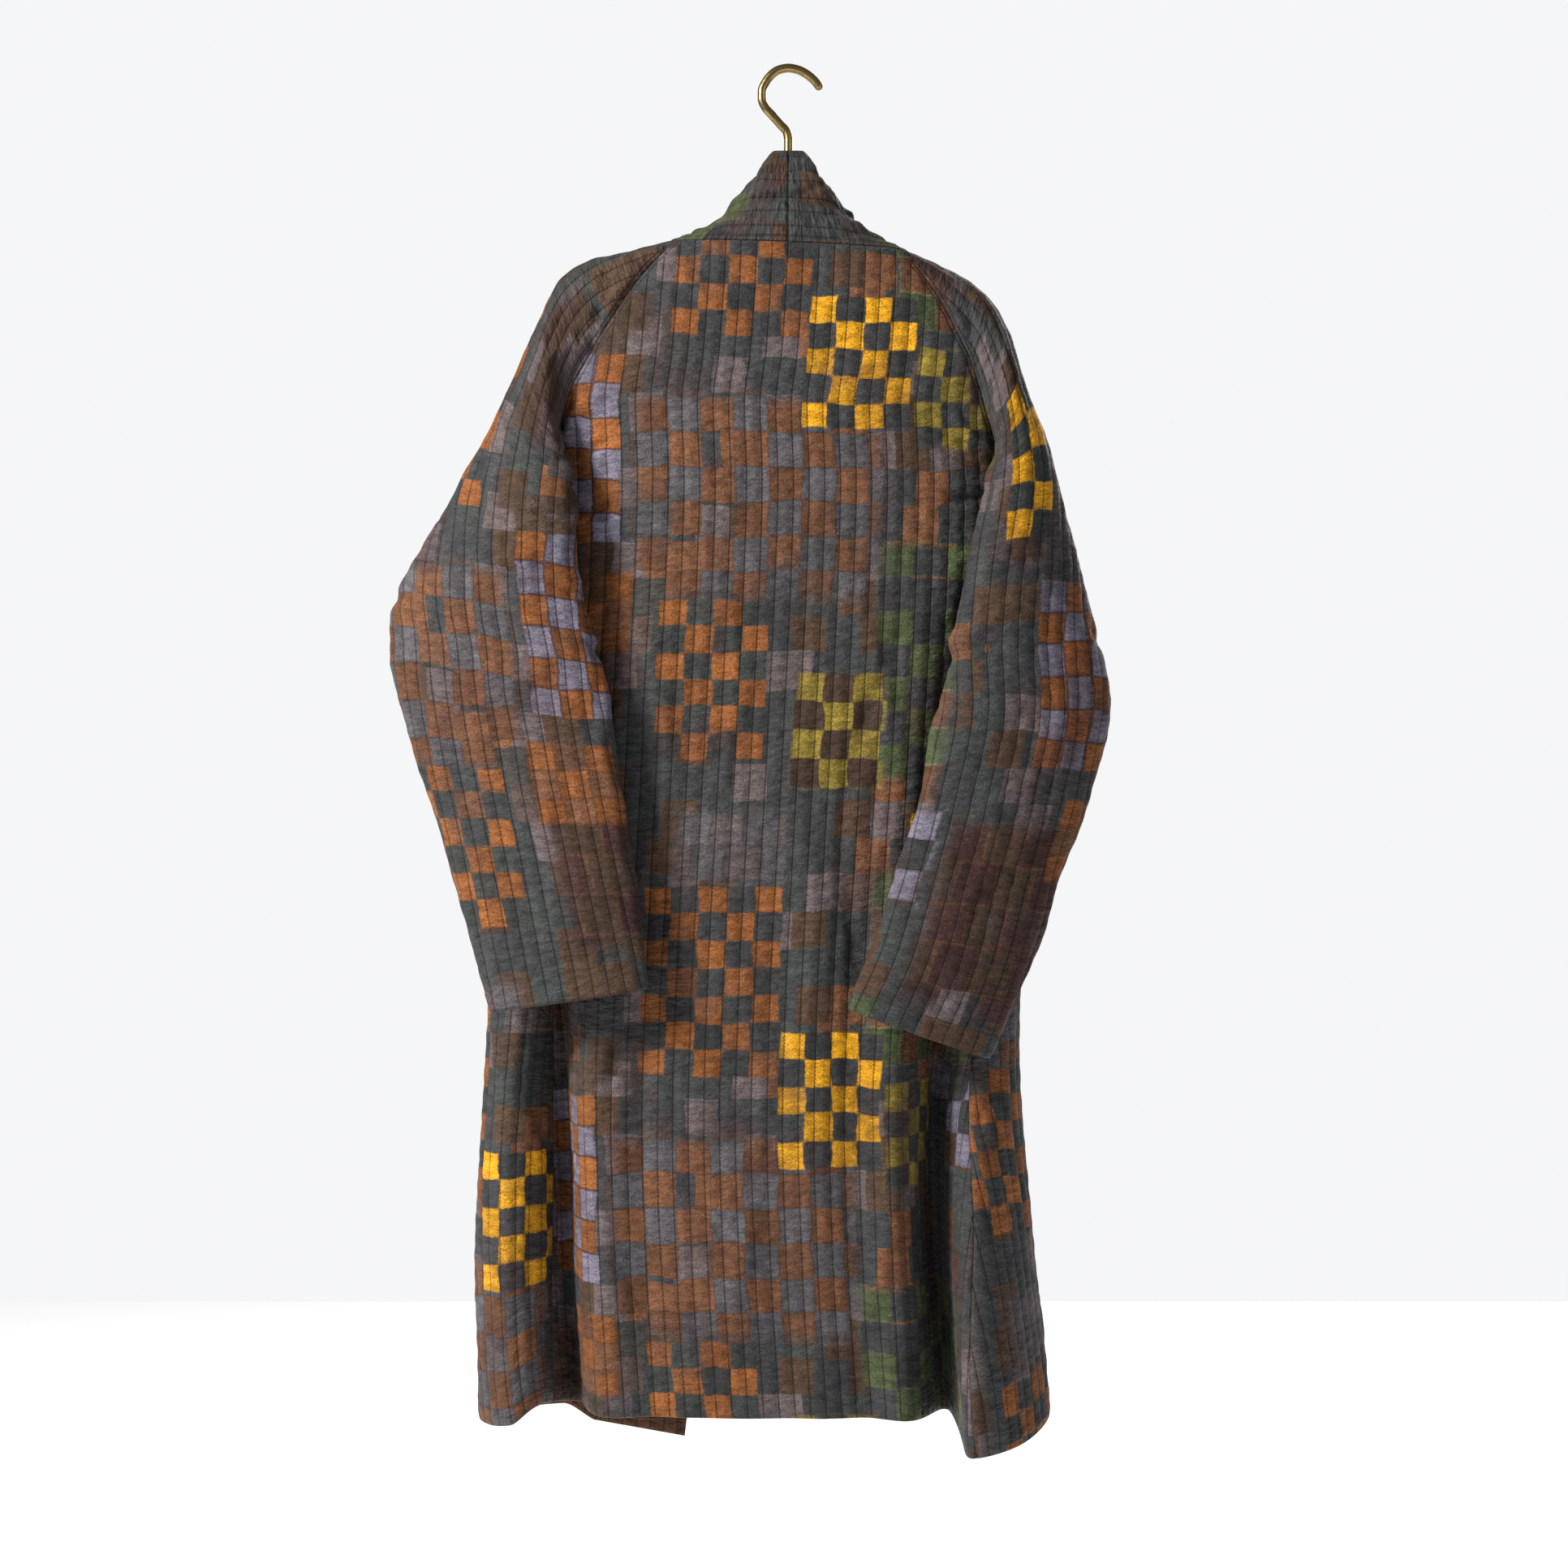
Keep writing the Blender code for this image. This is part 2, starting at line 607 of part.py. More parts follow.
def build_band(name, side, neck, sleeve_rows, sleeve, centre, centre_facing):
    """One half of the neck band: round the neck from the centre back, then down the front to the hem."""
    back_points, back_normals = neck["back"]
    top_points, top_normals = place_at(sleeve, 0, sleeve_rows[0]["outer"][0][1:-1])
    front_points, front_normals, front_free = neck["front"]
    at_centre = centre + np.array([side * centre_half_gap, 0, 0])
    every_other = np.arange(len(back_points) - 1, 0, -2)[::-1]
    starts = np.vstack([at_centre, back_points[every_other], top_points, front_points])
    normals = np.vstack([centre_facing, back_normals[every_other], top_normals, front_normals])
    length = lengths_along(starts[None])[0]
    edges = np.stack([read(band_edge, band_columns, "length", k, length) for k in ("x", "y", "z")], axis=-1)
    edges[:, 0] *= side
    edges[0, 0] = starts[0, 0]
    down = ramp(front_points[:, 2], *band_joins_front)[:, None]
    neck_count = len(starts) - len(front_points)
    edges[neck_count:] = edges[neck_count:] * (1 - down) + front_free * down
    starts = starts + unit(edges - starts) * band_gap
    places = chain(0.0, band_width, channel_pitch / 2)
    crest = np.round(places / (channel_pitch / 2)).astype(int) % 2 == 1
    crest[[0, -1]] = False
    share = (places / band_width)[None, :, None]
    grid = starts[:, None] + (edges - starts)[:, None] * share
    arch = read(band_edge, band_columns, "length", "bow", length)
    rolls = sum(height * np.exp(-(((places - across) / width) ** 2)) for across, width, height in band_rolls)
    bow = arch[:, None] * np.sin(np.pi * places / band_width)
    bow = bow + (1 - ramp(length, *rolls_end))[:, None] * (rolls * ramp(places, 0.0, rolls_start_at))
    grid = grid + evened_normals(grid, normals) * bow[..., None]
    grid[0, :, 0] = starts[0, 0]
    face = evened_normals(grid, normals)
    face[:, 0] = normals
    face[0, :, 0] = 0.0
    rows = []
    for line, across in zip(grid, face):
        outside = line + across * (channel_rise * crest)[:, None]
        inside = line - across * wall_thickness
        rows.append({"outer": (places, outside), "inner": (places[~crest], inside[~crest])})
    add_solid(name, *closed_wall(rows), quilt)


def build_hanger():
    """The brass hook and the hanger's bar, which lies just under the shoulder ridges of the sleeves."""
    ridge_x, ridge_z = [], []
    for table in (left_sleeve[::-1], right_sleeve):
        for row in table:
            if row[0] <= 0.5:
                ridge_x.append(row[sleeve_columns.index("out_x")])
                ridge_z.append(row[sleeve_columns.index("out_z")])
    middle = len(ridge_x) // 2
    ridge_x.insert(middle, 0)
    ridge_z.insert(middle, (ridge_z[middle - 1] + ridge_z[middle]) / 2 + bar_rise_at_hook)
    bar_x = np.linspace(-bar_half_length, bar_half_length, bar_points)
    under = wall_thickness + bar_clearance + bar_radius
    bar_z = smooth_through(np.array(ridge_x, float), np.array(ridge_z, float), bar_x) - under
    add_rod("hanger_bar", [(x, bar_y, z) for x, z in zip(bar_x, bar_z)], bar_radius, beech, 2)
    foot = float(np.interp(0.0, bar_x, bar_z)) + bar_radius + hook_gap
    bends = [(x, 0.0, z) for x, z in hook_route]
    bends += [(0, 0.0, (foot + hook_route[-1][1]) / 2), (0, 0.0, foot)]
    add_rod("hanger_hook", evened(bends, hook_point_spacing), wire_radius, brass, 3)


for old in list(bpy.data.objects):
    bpy.data.objects.remove(old)
coat_collection = bpy.data.collections.new("quilted_coat_on_hanger")
bpy.context.scene.collection.children.link(coat_collection)
quilt, brass, beech = make_finish("quilt"), make_finish("brass"), make_finish("beech")

all_sleeve_rows = np.concatenate([raglan_rows, tube_rows[1:]])
sleeve_surfaces = {
    -1: sleeve_surface(left_sleeve, -1, all_sleeve_rows),
    1: sleeve_surface(right_sleeve, 1, all_sleeve_rows),
}
neck_edges, centre_point, centre_normal = build_body(sleeve_surfaces)
for one_side, label in ((-1, "left"), (1, "right")):
    cloth = sleeve_surfaces[one_side]
    cloth_rows = build_sleeve("sleeve_" + label, cloth)
    neck_edge = neck_edges[one_side]
    build_band("neck_band_" + label, one_side, neck_edge, cloth_rows, cloth, centre_point, centre_normal)
build_hanger()
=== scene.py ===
import math

import bpy
import numpy as np
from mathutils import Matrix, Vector


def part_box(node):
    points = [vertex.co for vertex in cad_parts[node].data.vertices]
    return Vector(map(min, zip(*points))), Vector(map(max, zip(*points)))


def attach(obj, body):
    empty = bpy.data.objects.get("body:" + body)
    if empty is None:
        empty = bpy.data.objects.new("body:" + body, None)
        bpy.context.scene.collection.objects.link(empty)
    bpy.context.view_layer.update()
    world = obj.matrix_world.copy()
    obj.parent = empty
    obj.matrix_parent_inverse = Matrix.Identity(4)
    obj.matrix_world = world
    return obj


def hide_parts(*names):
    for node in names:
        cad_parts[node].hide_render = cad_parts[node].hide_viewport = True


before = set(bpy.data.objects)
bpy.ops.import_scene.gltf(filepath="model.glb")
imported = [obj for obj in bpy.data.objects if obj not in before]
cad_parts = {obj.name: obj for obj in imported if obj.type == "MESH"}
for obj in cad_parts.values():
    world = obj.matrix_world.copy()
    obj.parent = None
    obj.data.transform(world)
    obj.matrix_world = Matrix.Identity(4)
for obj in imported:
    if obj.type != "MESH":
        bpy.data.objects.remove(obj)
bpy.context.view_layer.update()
toMetres = 0.001
print("stage: frame loaded")

# The photograph's view, from 3 m behind the coat
cameraView = {"place": (-0.004, -3.0, -0.645), "lens": 75.54, "sensor": 36.0, "far": 60.0}
cameraData = bpy.data.cameras.new("camera")
cameraData.lens = cameraView["lens"]
cameraData.sensor_width = cameraView["sensor"]
cameraData.clip_end = cameraView["far"]
camera = bpy.data.objects.new("camera", cameraData)
camera.location = cameraView["place"]
camera.rotation_euler = (math.radians(90), 0, 0)
bpy.context.scene.collection.objects.link(camera)
bpy.context.scene.camera = camera

# The cloth everywhere, in millimetres. The grooves are depth and width, and what fades does so from a cut edge.
cloth = {
    "thickness": 2.2,
    "channel": 14.0,
    "puff": 1.5,
    "cellsPerChannel": 5,
    "rowStep": 4.0,
    "halfGap": 0.12,
    "bandGap": 0.3,
    "bandWidth": 92.0,
    "clearance": 6.0,
    "rimRound": 0.9,
    "seamRound": 0.1,
    "rimInside": 0.4,
    "creaseScale": 2.0,
    "collarScale": 1.5,
    "centreGap": 0.05,
    "topFree": 2.0,
    "puffFades": 7.0,
    "rumpleFades": 30.0,
    "creaseFades": 12.0,
    "hemGroove": (0.9, 1.6),
    "topGroove": (0.8, 1.3),
    "topstitch": 4.0,
    "insideFollows": 0.25,
    "farLine": 90.0,
}


# A new object for the data, in the scene
def linked(name, data):
    piece = bpy.data.objects.new(name, data)
    bpy.context.scene.collection.objects.link(piece)
    return piece


def column(table, names, wanted):
    return np.array([row[names.index(wanted)] for row in table], float)


# Cubic pieces between the values, with the harmonic mean of the neighbouring slopes at each, so nothing
# overshoots
def throughPoints(keys, values, at):
    if keys[0] > keys[-1]:
        keys, values = keys[::-1], values[::-1]
    steps = np.diff(keys)
    slopes = np.diff(values) / steps
    product = slopes[:-1] * slopes[1:]
    total = np.where(product > 0, slopes[:-1] + slopes[1:], 1.0)
    inner = np.where(product > 0, 2 * product / total, 0.0)
    tangents = np.concatenate([[slopes[0]], inner, [slopes[-1]]])
    at = np.clip(np.asarray(at, float), keys[0], keys[-1])
    i = np.clip(np.searchsorted(keys, at, side="right") - 1, 0, len(keys) - 2)
    u = (at - keys[i]) / steps[i]
    start = (1 + 2 * u) * (1 - u) ** 2 * values[i] + u * (1 - u) ** 2 * steps[i] * tangents[i]
    end = u * u * (3 - 2 * u) * values[i + 1] + u * u * (u - 1) * steps[i] * tangents[i + 1]
    return start + end


# One column of a table read off smoothly at values of its key column
def readTable(table, names, key, wanted, at):
    return throughPoints(column(table, names, key), column(table, names, wanted), at)


# 0 before start, 1 after end, with a soft step between
def ramp(value, start, end):
    u = np.clip((value - start) / (end - start), 0.0, 1.0)
    return u * u * (3 - 2 * u)


# A power that keeps the sign
def power(value, exponent):
    return np.sign(value) * np.abs(value) ** exponent


def unit(vectors):
    return vectors / np.maximum(np.linalg.norm(vectors, axis=-1, keepdims=True), 1e-9)


# How far along its row each point lies, the sum of the steps before it
def lengthsAlong(points):
    steps = np.linalg.norm(np.diff(points, axis=1), axis=-1)
    return np.concatenate([np.zeros((len(points), 1)), np.cumsum(steps, axis=1)], axis=1)


# The cross product of the steps down the grid and across it
def gridNormals(points, sign):
    return unit(np.cross(np.gradient(points, axis=0), np.gradient(points, axis=1)) * sign)


# The body as a stack of rounded oblong sections, seen from above
sectionColumns = ("z", "centreX", "halfWidth", "backDepth", "frontDepth", "squareness")
bodySections = [
    (-130, 0, 104, 38, 26, 2.1),
    (-158, 0, 130, 44, 32, 2.2),
    (-185, -1, 165, 47, 36, 2.25),
    (-222, -3, 195, 52, 40, 2.3),
    (-262, -6, 214, 55, 42, 2.4),
    (-305, -11, 222, 58, 44, 2.5),
    (-375, -9, 222, 62, 46, 2.6),
    (-450, -11, 222, 66, 47, 2.6),
    (-600, -18, 230, 71, 48, 2.7),
    (-860, -31, 241, 74, 50, 2.7),
    (-950, -33, 243, 75, 50, 2.7),
    (-1060, -30, 247, 75, 50, 2.6),
    (-1215, -21, 251, 75, 50, 2.6),
]
# Folds: place along the section at the top and at the hem, width, height, lean, where it starts and is full
bodyFolds = [
    (172, 166, 22, -62, 12, -440, -1010),
    (214, 218, 26, 40, -48, -800, -1190),
    (262, 268, 30, 8, 0, -850, -1200),
    (-192, -184, 22, -66, -4, -440, -1010),
    (-226, -226, 26, 14, 4, -800, -1200),
    (-272, -278, 26, 8, 0, -800, -1200),
    (-142, -136, 22, 7, 0, -420, -900),
    (138, 126, 22, 9, 0, -420, -900),
    (104, 92, 16, -6, 0, -480, -900),
    (-104, -100, 18, -5, 0, -520, -960),
    (60, 48, 18, 4, 0, -620, -1050),
    (-12, -14, 30, 4, 0, -800, -1200),
    (-400, -412, 26, 14, 0, -560, -1150),
    (-452, -462, 22, -10, 0, -620, -1150),
    (392, 398, 26, 13, 0, -560, -1150),
    (436, 444, 22, -9, 0, -620, -1150),
]
hemColumns = ("angle", "drop")
hemDrop = [
    (-180, 41), (-165, 39), (-150, 31), (-137, 8), (-110, 12), (-75, 14), (-60, 10), (-50, -6),
    (-40, 0), (0, 0), (36, 6), (48, 31), (62, 27), (84, 8), (110, 0), (180, 0),
]
bodyShape = {"hemFrom": (-1000, -1208), "tilt": 0.04, "tiltFades": (-200, -420)}
bodyAngles = np.linspace(-200.0, 200.0, 1601)


# A superellipse at each height: sine and cosine of the angle, each to the power of two over the squareness, times
# the half width and the depth. Bell-shaped folds move it outwards and sideways, and the hem is let down by angle.
def bodyPoints(zRows):
    angles = bodyAngles[None, :]
    turn = np.radians(angles)
    z = np.asarray(zRows, float)[:, None]
    size = {name: readTable(bodySections, sectionColumns, "z", name, z) for name in sectionColumns[1:]}
    exponent = 2 / size["squareness"]
    depth = np.where(np.cos(turn) > 0, size["backDepth"], size["frontDepth"])
    x = size["centreX"] + size["halfWidth"] * power(np.sin(turn), exponent)
    y = -depth * power(np.cos(turn), exponent)
    flat = np.stack([x, y, np.zeros_like(x)], axis=-1)
    length = lengthsAlong(flat)
    length = length - length[:, flat.shape[1] // 2][:, None]
    tangent = unit(np.gradient(flat, axis=1))
    outward = np.stack([tangent[..., 1], -tangent[..., 0], tangent[..., 2]], axis=-1)
    moved = flat.copy()
    for top, hem, width, height, lean, zTop, zFull in bodyFolds:
        grown = ramp(z, zTop, zFull)
        bump = np.exp(-(((length - (top + (hem - top) * grown)) / width) ** 2)) * grown
        moved += outward * (height * bump)[..., None] + tangent * (lean * bump)[..., None]
    drop = readTable(hemDrop, hemColumns, "angle", "drop", angles) * ramp(z, *bodyShape["hemFrom"])
    tilt = bodyShape["tilt"] * x * (1 - ramp(z, *bodyShape["tiltFades"]))
    moved[..., 2] = z - drop - tilt
    return moved


# The body's grid with its normals, and each point's length from the middle of the back
def bodySurface(zRows):
    points = bodyPoints(zRows)
    length = lengthsAlong(points)
    middle = points.shape[1] // 2
    return {
        "points": points,
        "normals": gridNormals(points, 1),
        "length": length - length[:, middle][:, None],
        "along": -np.asarray(zRows, float),
    }


# Points and normals of every row of a surface at its own row of places
def placeRows(surface, places):
    points = np.empty((*places.shape, 3))
    normals = np.empty((*places.shape, 3))
    for row in range(len(places)):
        for k in range(3):
            length = surface["length"][row]
            points[row, :, k] = np.interp(places[row], length, surface["points"][row, :, k])
            normals[row, :, k] = np.interp(places[row], length, surface["normals"][row, :, k])
    return points, unit(normals)


# The raglan seams on the body: height and angle at the back and at the front
raglanColumns = ("t", "backZ", "backAngle", "frontZ", "frontAngle")
raglanSeams = [
    (0 / 6, -158, 50.3, -168, 138.0),
    (1 / 6, -187, 47.3, -192, 138.0),
    (2 / 6, -222, 47.7, -226, 135.0),
    (3 / 6, -260, 50.0, -262, 128.0),
    (4 / 6, -298, 54.0, -299, 115.0),
    (5 / 6, -336, 59.0, -337, 93.0),
    (6 / 6, -375, 64.0, -375, 64.0),
]


# The point of the body at each height and seam angle
def seamPoints(tRows, side, which):
    zRows = readTable(raglanSeams, raglanColumns, "t", which + "Z", tRows)
    angles = side * readTable(raglanSeams, raglanColumns, "t", which + "Angle", tRows)
    points = bodyPoints(zRows)
    found = [[np.interp(a, bodyAngles, row[:, k]) for k in range(3)] for a, row in zip(angles, points)]
    return np.array(found)


# The sleeve's loops, pushed out along the normal of the body's nearest section point, by what they lack of the
# wanted clearance
def clearOfBody(loops, t):
    heights = np.arange(-900.0, -280.0, 10.0)
    sections = bodyPoints(heights)[:, ::4, :2]
    along = lengthsAlong(loops)
    fromSeam = np.minimum(along, along[:, -1:] - along)
    loose = np.maximum(np.clip(fromSeam / 10.0, 0.0, 1.0), ramp(t, 1.0, 1.3)[:, None])
    for row in np.flatnonzero(t > 0.4):
        points = loops[row]
        level = np.clip((points[:, 2] - heights[0]) / 10.0, 0.0, len(heights) - 1.001)
        lower = level.astype(int)
        share = (level - lower)[:, None, None]
        section = sections[lower] * (1 - share) + sections[lower + 1] * share
        nearest = np.argmin(((section - points[:, None, :2]) ** 2).sum(axis=-1), axis=1)
        nearest = np.clip(nearest, 1, section.shape[1] - 2)
        each = np.arange(len(points))
        tangent = unit(section[each, nearest + 1] - section[each, nearest - 1])
        outward = np.stack([tangent[:, 1], -tangent[:, 0]], axis=-1)
        distance = np.einsum("ij,ij->i", points[:, :2] - section[each, nearest], outward)
        push = np.maximum(0.0, cloth["clearance"] * loose[row] - distance)
        push = push * ramp(-points[:, 2], 300.0, 330.0)
        points[:, :2] += outward * push[:, None]
    return loops


# The sleeves' two fold lines, the bulge to the back and under the arm, the angles at which each loop starts and
# ends, and the shift of the cloth's channels round the sleeve
sleeveColumns = (
    "t", "inX", "inY", "inZ", "outX", "outY", "outZ", "bulge", "under", "start", "end", "grain",
)
leftSleeve = [
    (0 / 6, -99, -3, -180, -97, -2, -150, 31, 29, 125, 268, 0),
    (1 / 6, -118, -3, -210, -134, -2, -160, 33, 31, 88, 271, 4),
    (2 / 6, -134, -4, -252, -172, -3, -166, 36, 34, 80, 284, 10),
    (3 / 6, -152, -8, -292, -204, -4, -186, 38, 36, 72, 288, 16),
    (4 / 6, -176, -26, -322, -225, -8, -226, 38, 26, 46, 278, 22),
    (5 / 6, -190, -54, -352, -251, -15, -290, 34, 18, -14, 264, 32),
    (1.0, -194, -78, -378, -284, -27, -362, 28, 15, -74, 286, 46),
    (1.15, -188, -84, -448, -327, -35, -432, 28, 9, -56, 304, 76),
    (1.28, -173, -83, -518, -356, -40, -492, 29, 9, -40, 320, 106),
    (1.36, -164, -85, -552, -356, -43, -530, 29, 10, -40, 320, 110),
    (1.50, -151, -89, -620, -335, -49, -612, 28, 10, -40, 320, 98),
    (1.68, -138, -94, -706, -307, -57, -700, 26, 10, -40, 320, 86),
    (1.84, -130, -98, -770, -284, -64, -776, 24, 10, -40, 320, 76),
    (2.00, -124, -101, -826, -266, -70, -848, 22, 10, -40, 320, 70),
]
rightSleeve = [
    (0 / 6, 100, -3, -189, 101, -2, -160, 31, 29, 125, 268, 0),
    (1 / 6, 118, -3, -219, 131, -2, -172, 33, 31, 88, 271, 4),
    (2 / 6, 130, -4, -260, 157, -3, -184, 36, 34, 80, 284, 10),
    (3 / 6, 146, -8, -300, 183, -4, -207, 38, 36, 72, 288, 16),
    (4 / 6, 164, -26, -328, 201, -8, -243, 38, 26, 46, 278, 24),
    (5 / 6, 176, -54, -356, 215, -16, -304, 34, 17, -14, 264, 36),
    (1.0, 175, -79, -384, 236, -29, -372, 28, 14, -76, 284, 48),
    (1.15, 160, -86, -446, 256, -37, -440, 28, 9, -56, 304, 66),
    (1.30, 146, -86, -520, 276, -40, -512, 29, 9, -40, 320, 86),
    (1.42, 134, -90, -576, 287, -45, -580, 29, 10, -40, 320, 92),
    (1.58, 114, -95, -658, 265, -53, -664, 28, 10, -40, 320, 84),
    (1.74, 94, -99, -728, 238, -61, -740, 26, 10, -40, 320, 74),
    (1.88, 72, -103, -790, 210, -70, -818, 24, 10, -40, 320, 64),
    (2.00, 52, -106, -842, 177, -78, -888, 22, 10, -40, 320, 58),
]


# Flattened loops between an inner and an outer fold line: half the way between them times a power of the cosine,
# and the bulge times a power of the sine. Their ends are drawn to the raglan seams at the top.
def sleeveSurface(table, side, t):
    value = {name: readTable(table, sleeveColumns, "t", name, t)[:, None] for name in sleeveColumns[1:]}
    inner = np.concatenate([value["inX"], value["inY"], value["inZ"]], axis=1)[:, None, :]
    outer = np.concatenate([value["outX"], value["outY"], value["outZ"]], axis=1)[:, None, :]
    share = np.linspace(0.0, 1.0, 361)[None, :]
    turn = np.radians(value["start"] + (value["end"] - value["start"]) * share)
    across = unit(outer - inner)
    towardsBack = unit(np.array([0.0, -1.0, 0.0]) + across * across[..., 1:2])
    bulge = np.where(np.sin(turn) > 0, value["bulge"], value["under"])
    loop = (inner + outer) / 2 + (inner - outer) / 2 * power(np.cos(turn), 0.9)[..., None]
    loop = loop + towardsBack * (bulge * power(np.sin(turn), 0.95))[..., None]
    onBody = np.clip(t, 0.0, 1.0)
    reach = 0.5 - 0.28 * ramp(t, 0.5, 1.0)[:, None]
    fade = (1 - ramp(t, 1.0, 1.3))[:, None]
    for which, end, distance in (("back", 0, share), ("front", -1, 1 - share)):
        wanted = seamPoints(onBody, side, which)
        atUnderarm = loop[np.argmin(np.abs(t - 1.0)), end]
        pull = np.where(t[:, None] <= 1.0, wanted - loop[:, end], wanted - atUnderarm) * fade
        weight = 1 - ramp(distance, 0.0, reach)
        loop = loop + pull[:, None, :] * weight[..., None]
    loop = clearOfBody(loop, t)
    length = lengthsAlong(loop)
    atOuter = np.array([np.interp(math.pi, a, b) for a, b in zip(turn, length)])
    middle = (inner[:, 0] + outer[:, 0]) / 2
    along = np.concatenate([[0.0], np.cumsum(np.linalg.norm(np.diff(middle, axis=0), axis=1))])
    return {
        "points": loop,
        "normals": gridNormals(loop, side),
        "length": length - (atOuter - value["grain"][:, 0])[:, None],
        "along": along,
        "t": t,
    }


# A sum of slanted sine waves with seeded directions and phases, about -1 to 1
def rumple(across, along, seed, count, acrossWave, alongWave):
    draw = np.random.default_rng(seed)
    total = np.zeros(np.broadcast(across, along).shape)
    for _ in range(count):
        size = draw.uniform(0.6, 1.7)
        slant = draw.uniform(-1.0, 1.0)
        phase = draw.uniform(0.0, 2 * math.pi)
        total += np.sin(2 * math.pi * size * (slant * across / acrossWave + along / alongWave) + phase)
    return total / math.sqrt(count)


# Each crease is a bell across its slightly bent line and fades at both ends: across and along where it starts,
# across and along where it ends, width, depth
def creased(across, along, creases):
    total = np.zeros(np.broadcast(across, along).shape)
    for a0, b0, a1, b1, width, depth in creases:
        run = math.hypot(a1 - a0, b1 - b0)
        forward = ((across - a0) * (a1 - a0) + (along - b0) * (b1 - b0)) / run
        sideways = ((across - a0) * (b1 - b0) - (along - b0) * (a1 - a0)) / run
        bend = 0.12 * run * np.sin(math.pi * np.clip(forward / run, 0, 1)) * (1 if depth > 0 else -1)
        ends = ramp(forward, -0.1 * run, 0.25 * run) * (1 - ramp(forward, 0.65 * run, 1.1 * run))
        total += depth * ends * np.exp(-(((sideways - bend) / width) ** 2))
    return total


# Quilting: between stitch lines a channel apart the puff is a power of the sine's size, and short ripples, two sine
# waves along the channel, swell it and pinch it beside each line
def quilted(across, along, seed, puff):
    place = across / cloth["channel"]
    number = np.floor(place)
    arch = np.abs(np.sin(math.pi * place)) ** 0.6
    wander = number * 1.9 + 1.6 * np.sin(along / 37.0 + number)
    ripple = np.sin(along * (0.34 + 0.05 * np.sin(number * 2.1)) + wander)
    ripple += 0.7 * np.sin(along * 0.19 + number * 4.3)
    return puff * arch * (1 + 0.16 * ripple) + 0.22 * ripple * (1 - arch)


# A closed wall on a grid whose columns may be clipped at the two seams: outer face, rounded rim, inner face
def wallMesh(name, outer, inner, first, last, values, freeEdge):
    rows, cols = outer.shape[:2]
    index = np.arange(rows * cols).reshape(rows, cols)
    each = np.arange(cols)[None, :]
    held = np.clip(each, first[:, None], last[:, None])
    index = np.take_along_axis(index, held, axis=1)
    a, b, c, d = index[:-1, :-1], index[1:, :-1], index[1:, 1:], index[:-1, 1:]
    face = np.concatenate([np.stack([a, b, c], -1).reshape(-1, 3), np.stack([a, c, d], -1).reshape(-1, 3)])
    whole = (face[:, 0] != face[:, 1]) & (face[:, 1] != face[:, 2]) & (face[:, 0] != face[:, 2])
    face = face[whole]
    loop = np.concatenate([index[0, ::-1], index[1:, 0], index[-1, 1:], index[-2:0:-1, -1]])
    loop = loop[np.concatenate([[True], loop[1:] != loop[:-1]])]
    if loop[0] == loop[-1]:
        loop = loop[:-1]
    outerPoints, innerPoints = outer.reshape(-1, 3), inner.reshape(-1, 3)
    middle = (outerPoints[loop] + innerPoints[loop]) / 2
    forward = np.roll(middle, -1, axis=0) - np.roll(middle, 1, axis=0)
    facing = outerPoints[loop] - innerPoints[loop]
    away = unit(np.cross(forward, facing))
    free = np.broadcast_to(freeEdge, (rows, cols)).reshape(-1)[loop][:, None]
    middle = middle + away * np.where(free, cloth["rimRound"], cloth["seamRound"])
    total, n = rows * cols, len(loop)
    ring = 2 * total + np.arange(n)
    after = np.roll(np.arange(n), -1)
    o0, o1, m0, m1, i0, i1 = loop, loop[after], ring, ring[after], loop + total, loop[after] + total
    rims = ((o1, o0, m0), (o1, m0, m1), (m1, m0, i0), (m1, i0, i1))
    rim = np.concatenate([np.stack(corners, -1) for corners in rims])
    faces = np.concatenate([face, face[:, ::-1] + total, rim])
    points = np.concatenate([outerPoints, innerPoints, middle]) * toMetres
    values = {key: np.broadcast_to(grid, (rows, cols)).reshape(-1) for key, grid in values.items()}
    values = {key: np.concatenate([flat, flat, flat[loop]]) for key, flat in values.items()}
    inside = np.concatenate([np.zeros(total), np.ones(total), np.full(n, cloth["rimInside"])])
    used, faces = np.unique(faces, return_inverse=True)
    faces = faces.reshape(-1, 3)
    points = points[used]
    values = {key: value[used] for key, value in values.items()}
    values["inside"] = inside[used]
    p = points[faces]
    if np.einsum("ij,ij->i", p[:, 0], np.cross(p[:, 1], p[:, 2])).sum() < 0:
        faces = faces[:, ::-1]
    mesh = bpy.data.meshes.new(name)
    mesh.vertices.add(len(points))
    mesh.vertices.foreach_set("co", points.astype(np.float32).ravel())
    mesh.loops.add(faces.size)
    mesh.loops.foreach_set("vertex_index", faces.astype(np.int32).ravel())
    mesh.polygons.add(len(faces))
    mesh.polygons.foreach_set("loop_start", np.arange(0, faces.size, 3, dtype=np.int32))
    mesh.update()
    mesh.validate()
    mesh.shade_smooth()
    uv = mesh.uv_layers.new(name="cloth")
    pairs = np.stack([values["across"], values["along"]], -1)[faces.ravel()] * toMetres
    uv.data.foreach_set("uv", pairs.astype(np.float32).ravel())
    for key in ("fromSeam", "fromHem", "inside"):
        layer = mesh.attributes.new(key, "FLOAT", "POINT")
        layer.data.foreach_set("value", values[key].astype(np.float32))
    print("stage:", name, len(faces), "triangles")
    return linked(name, mesh)


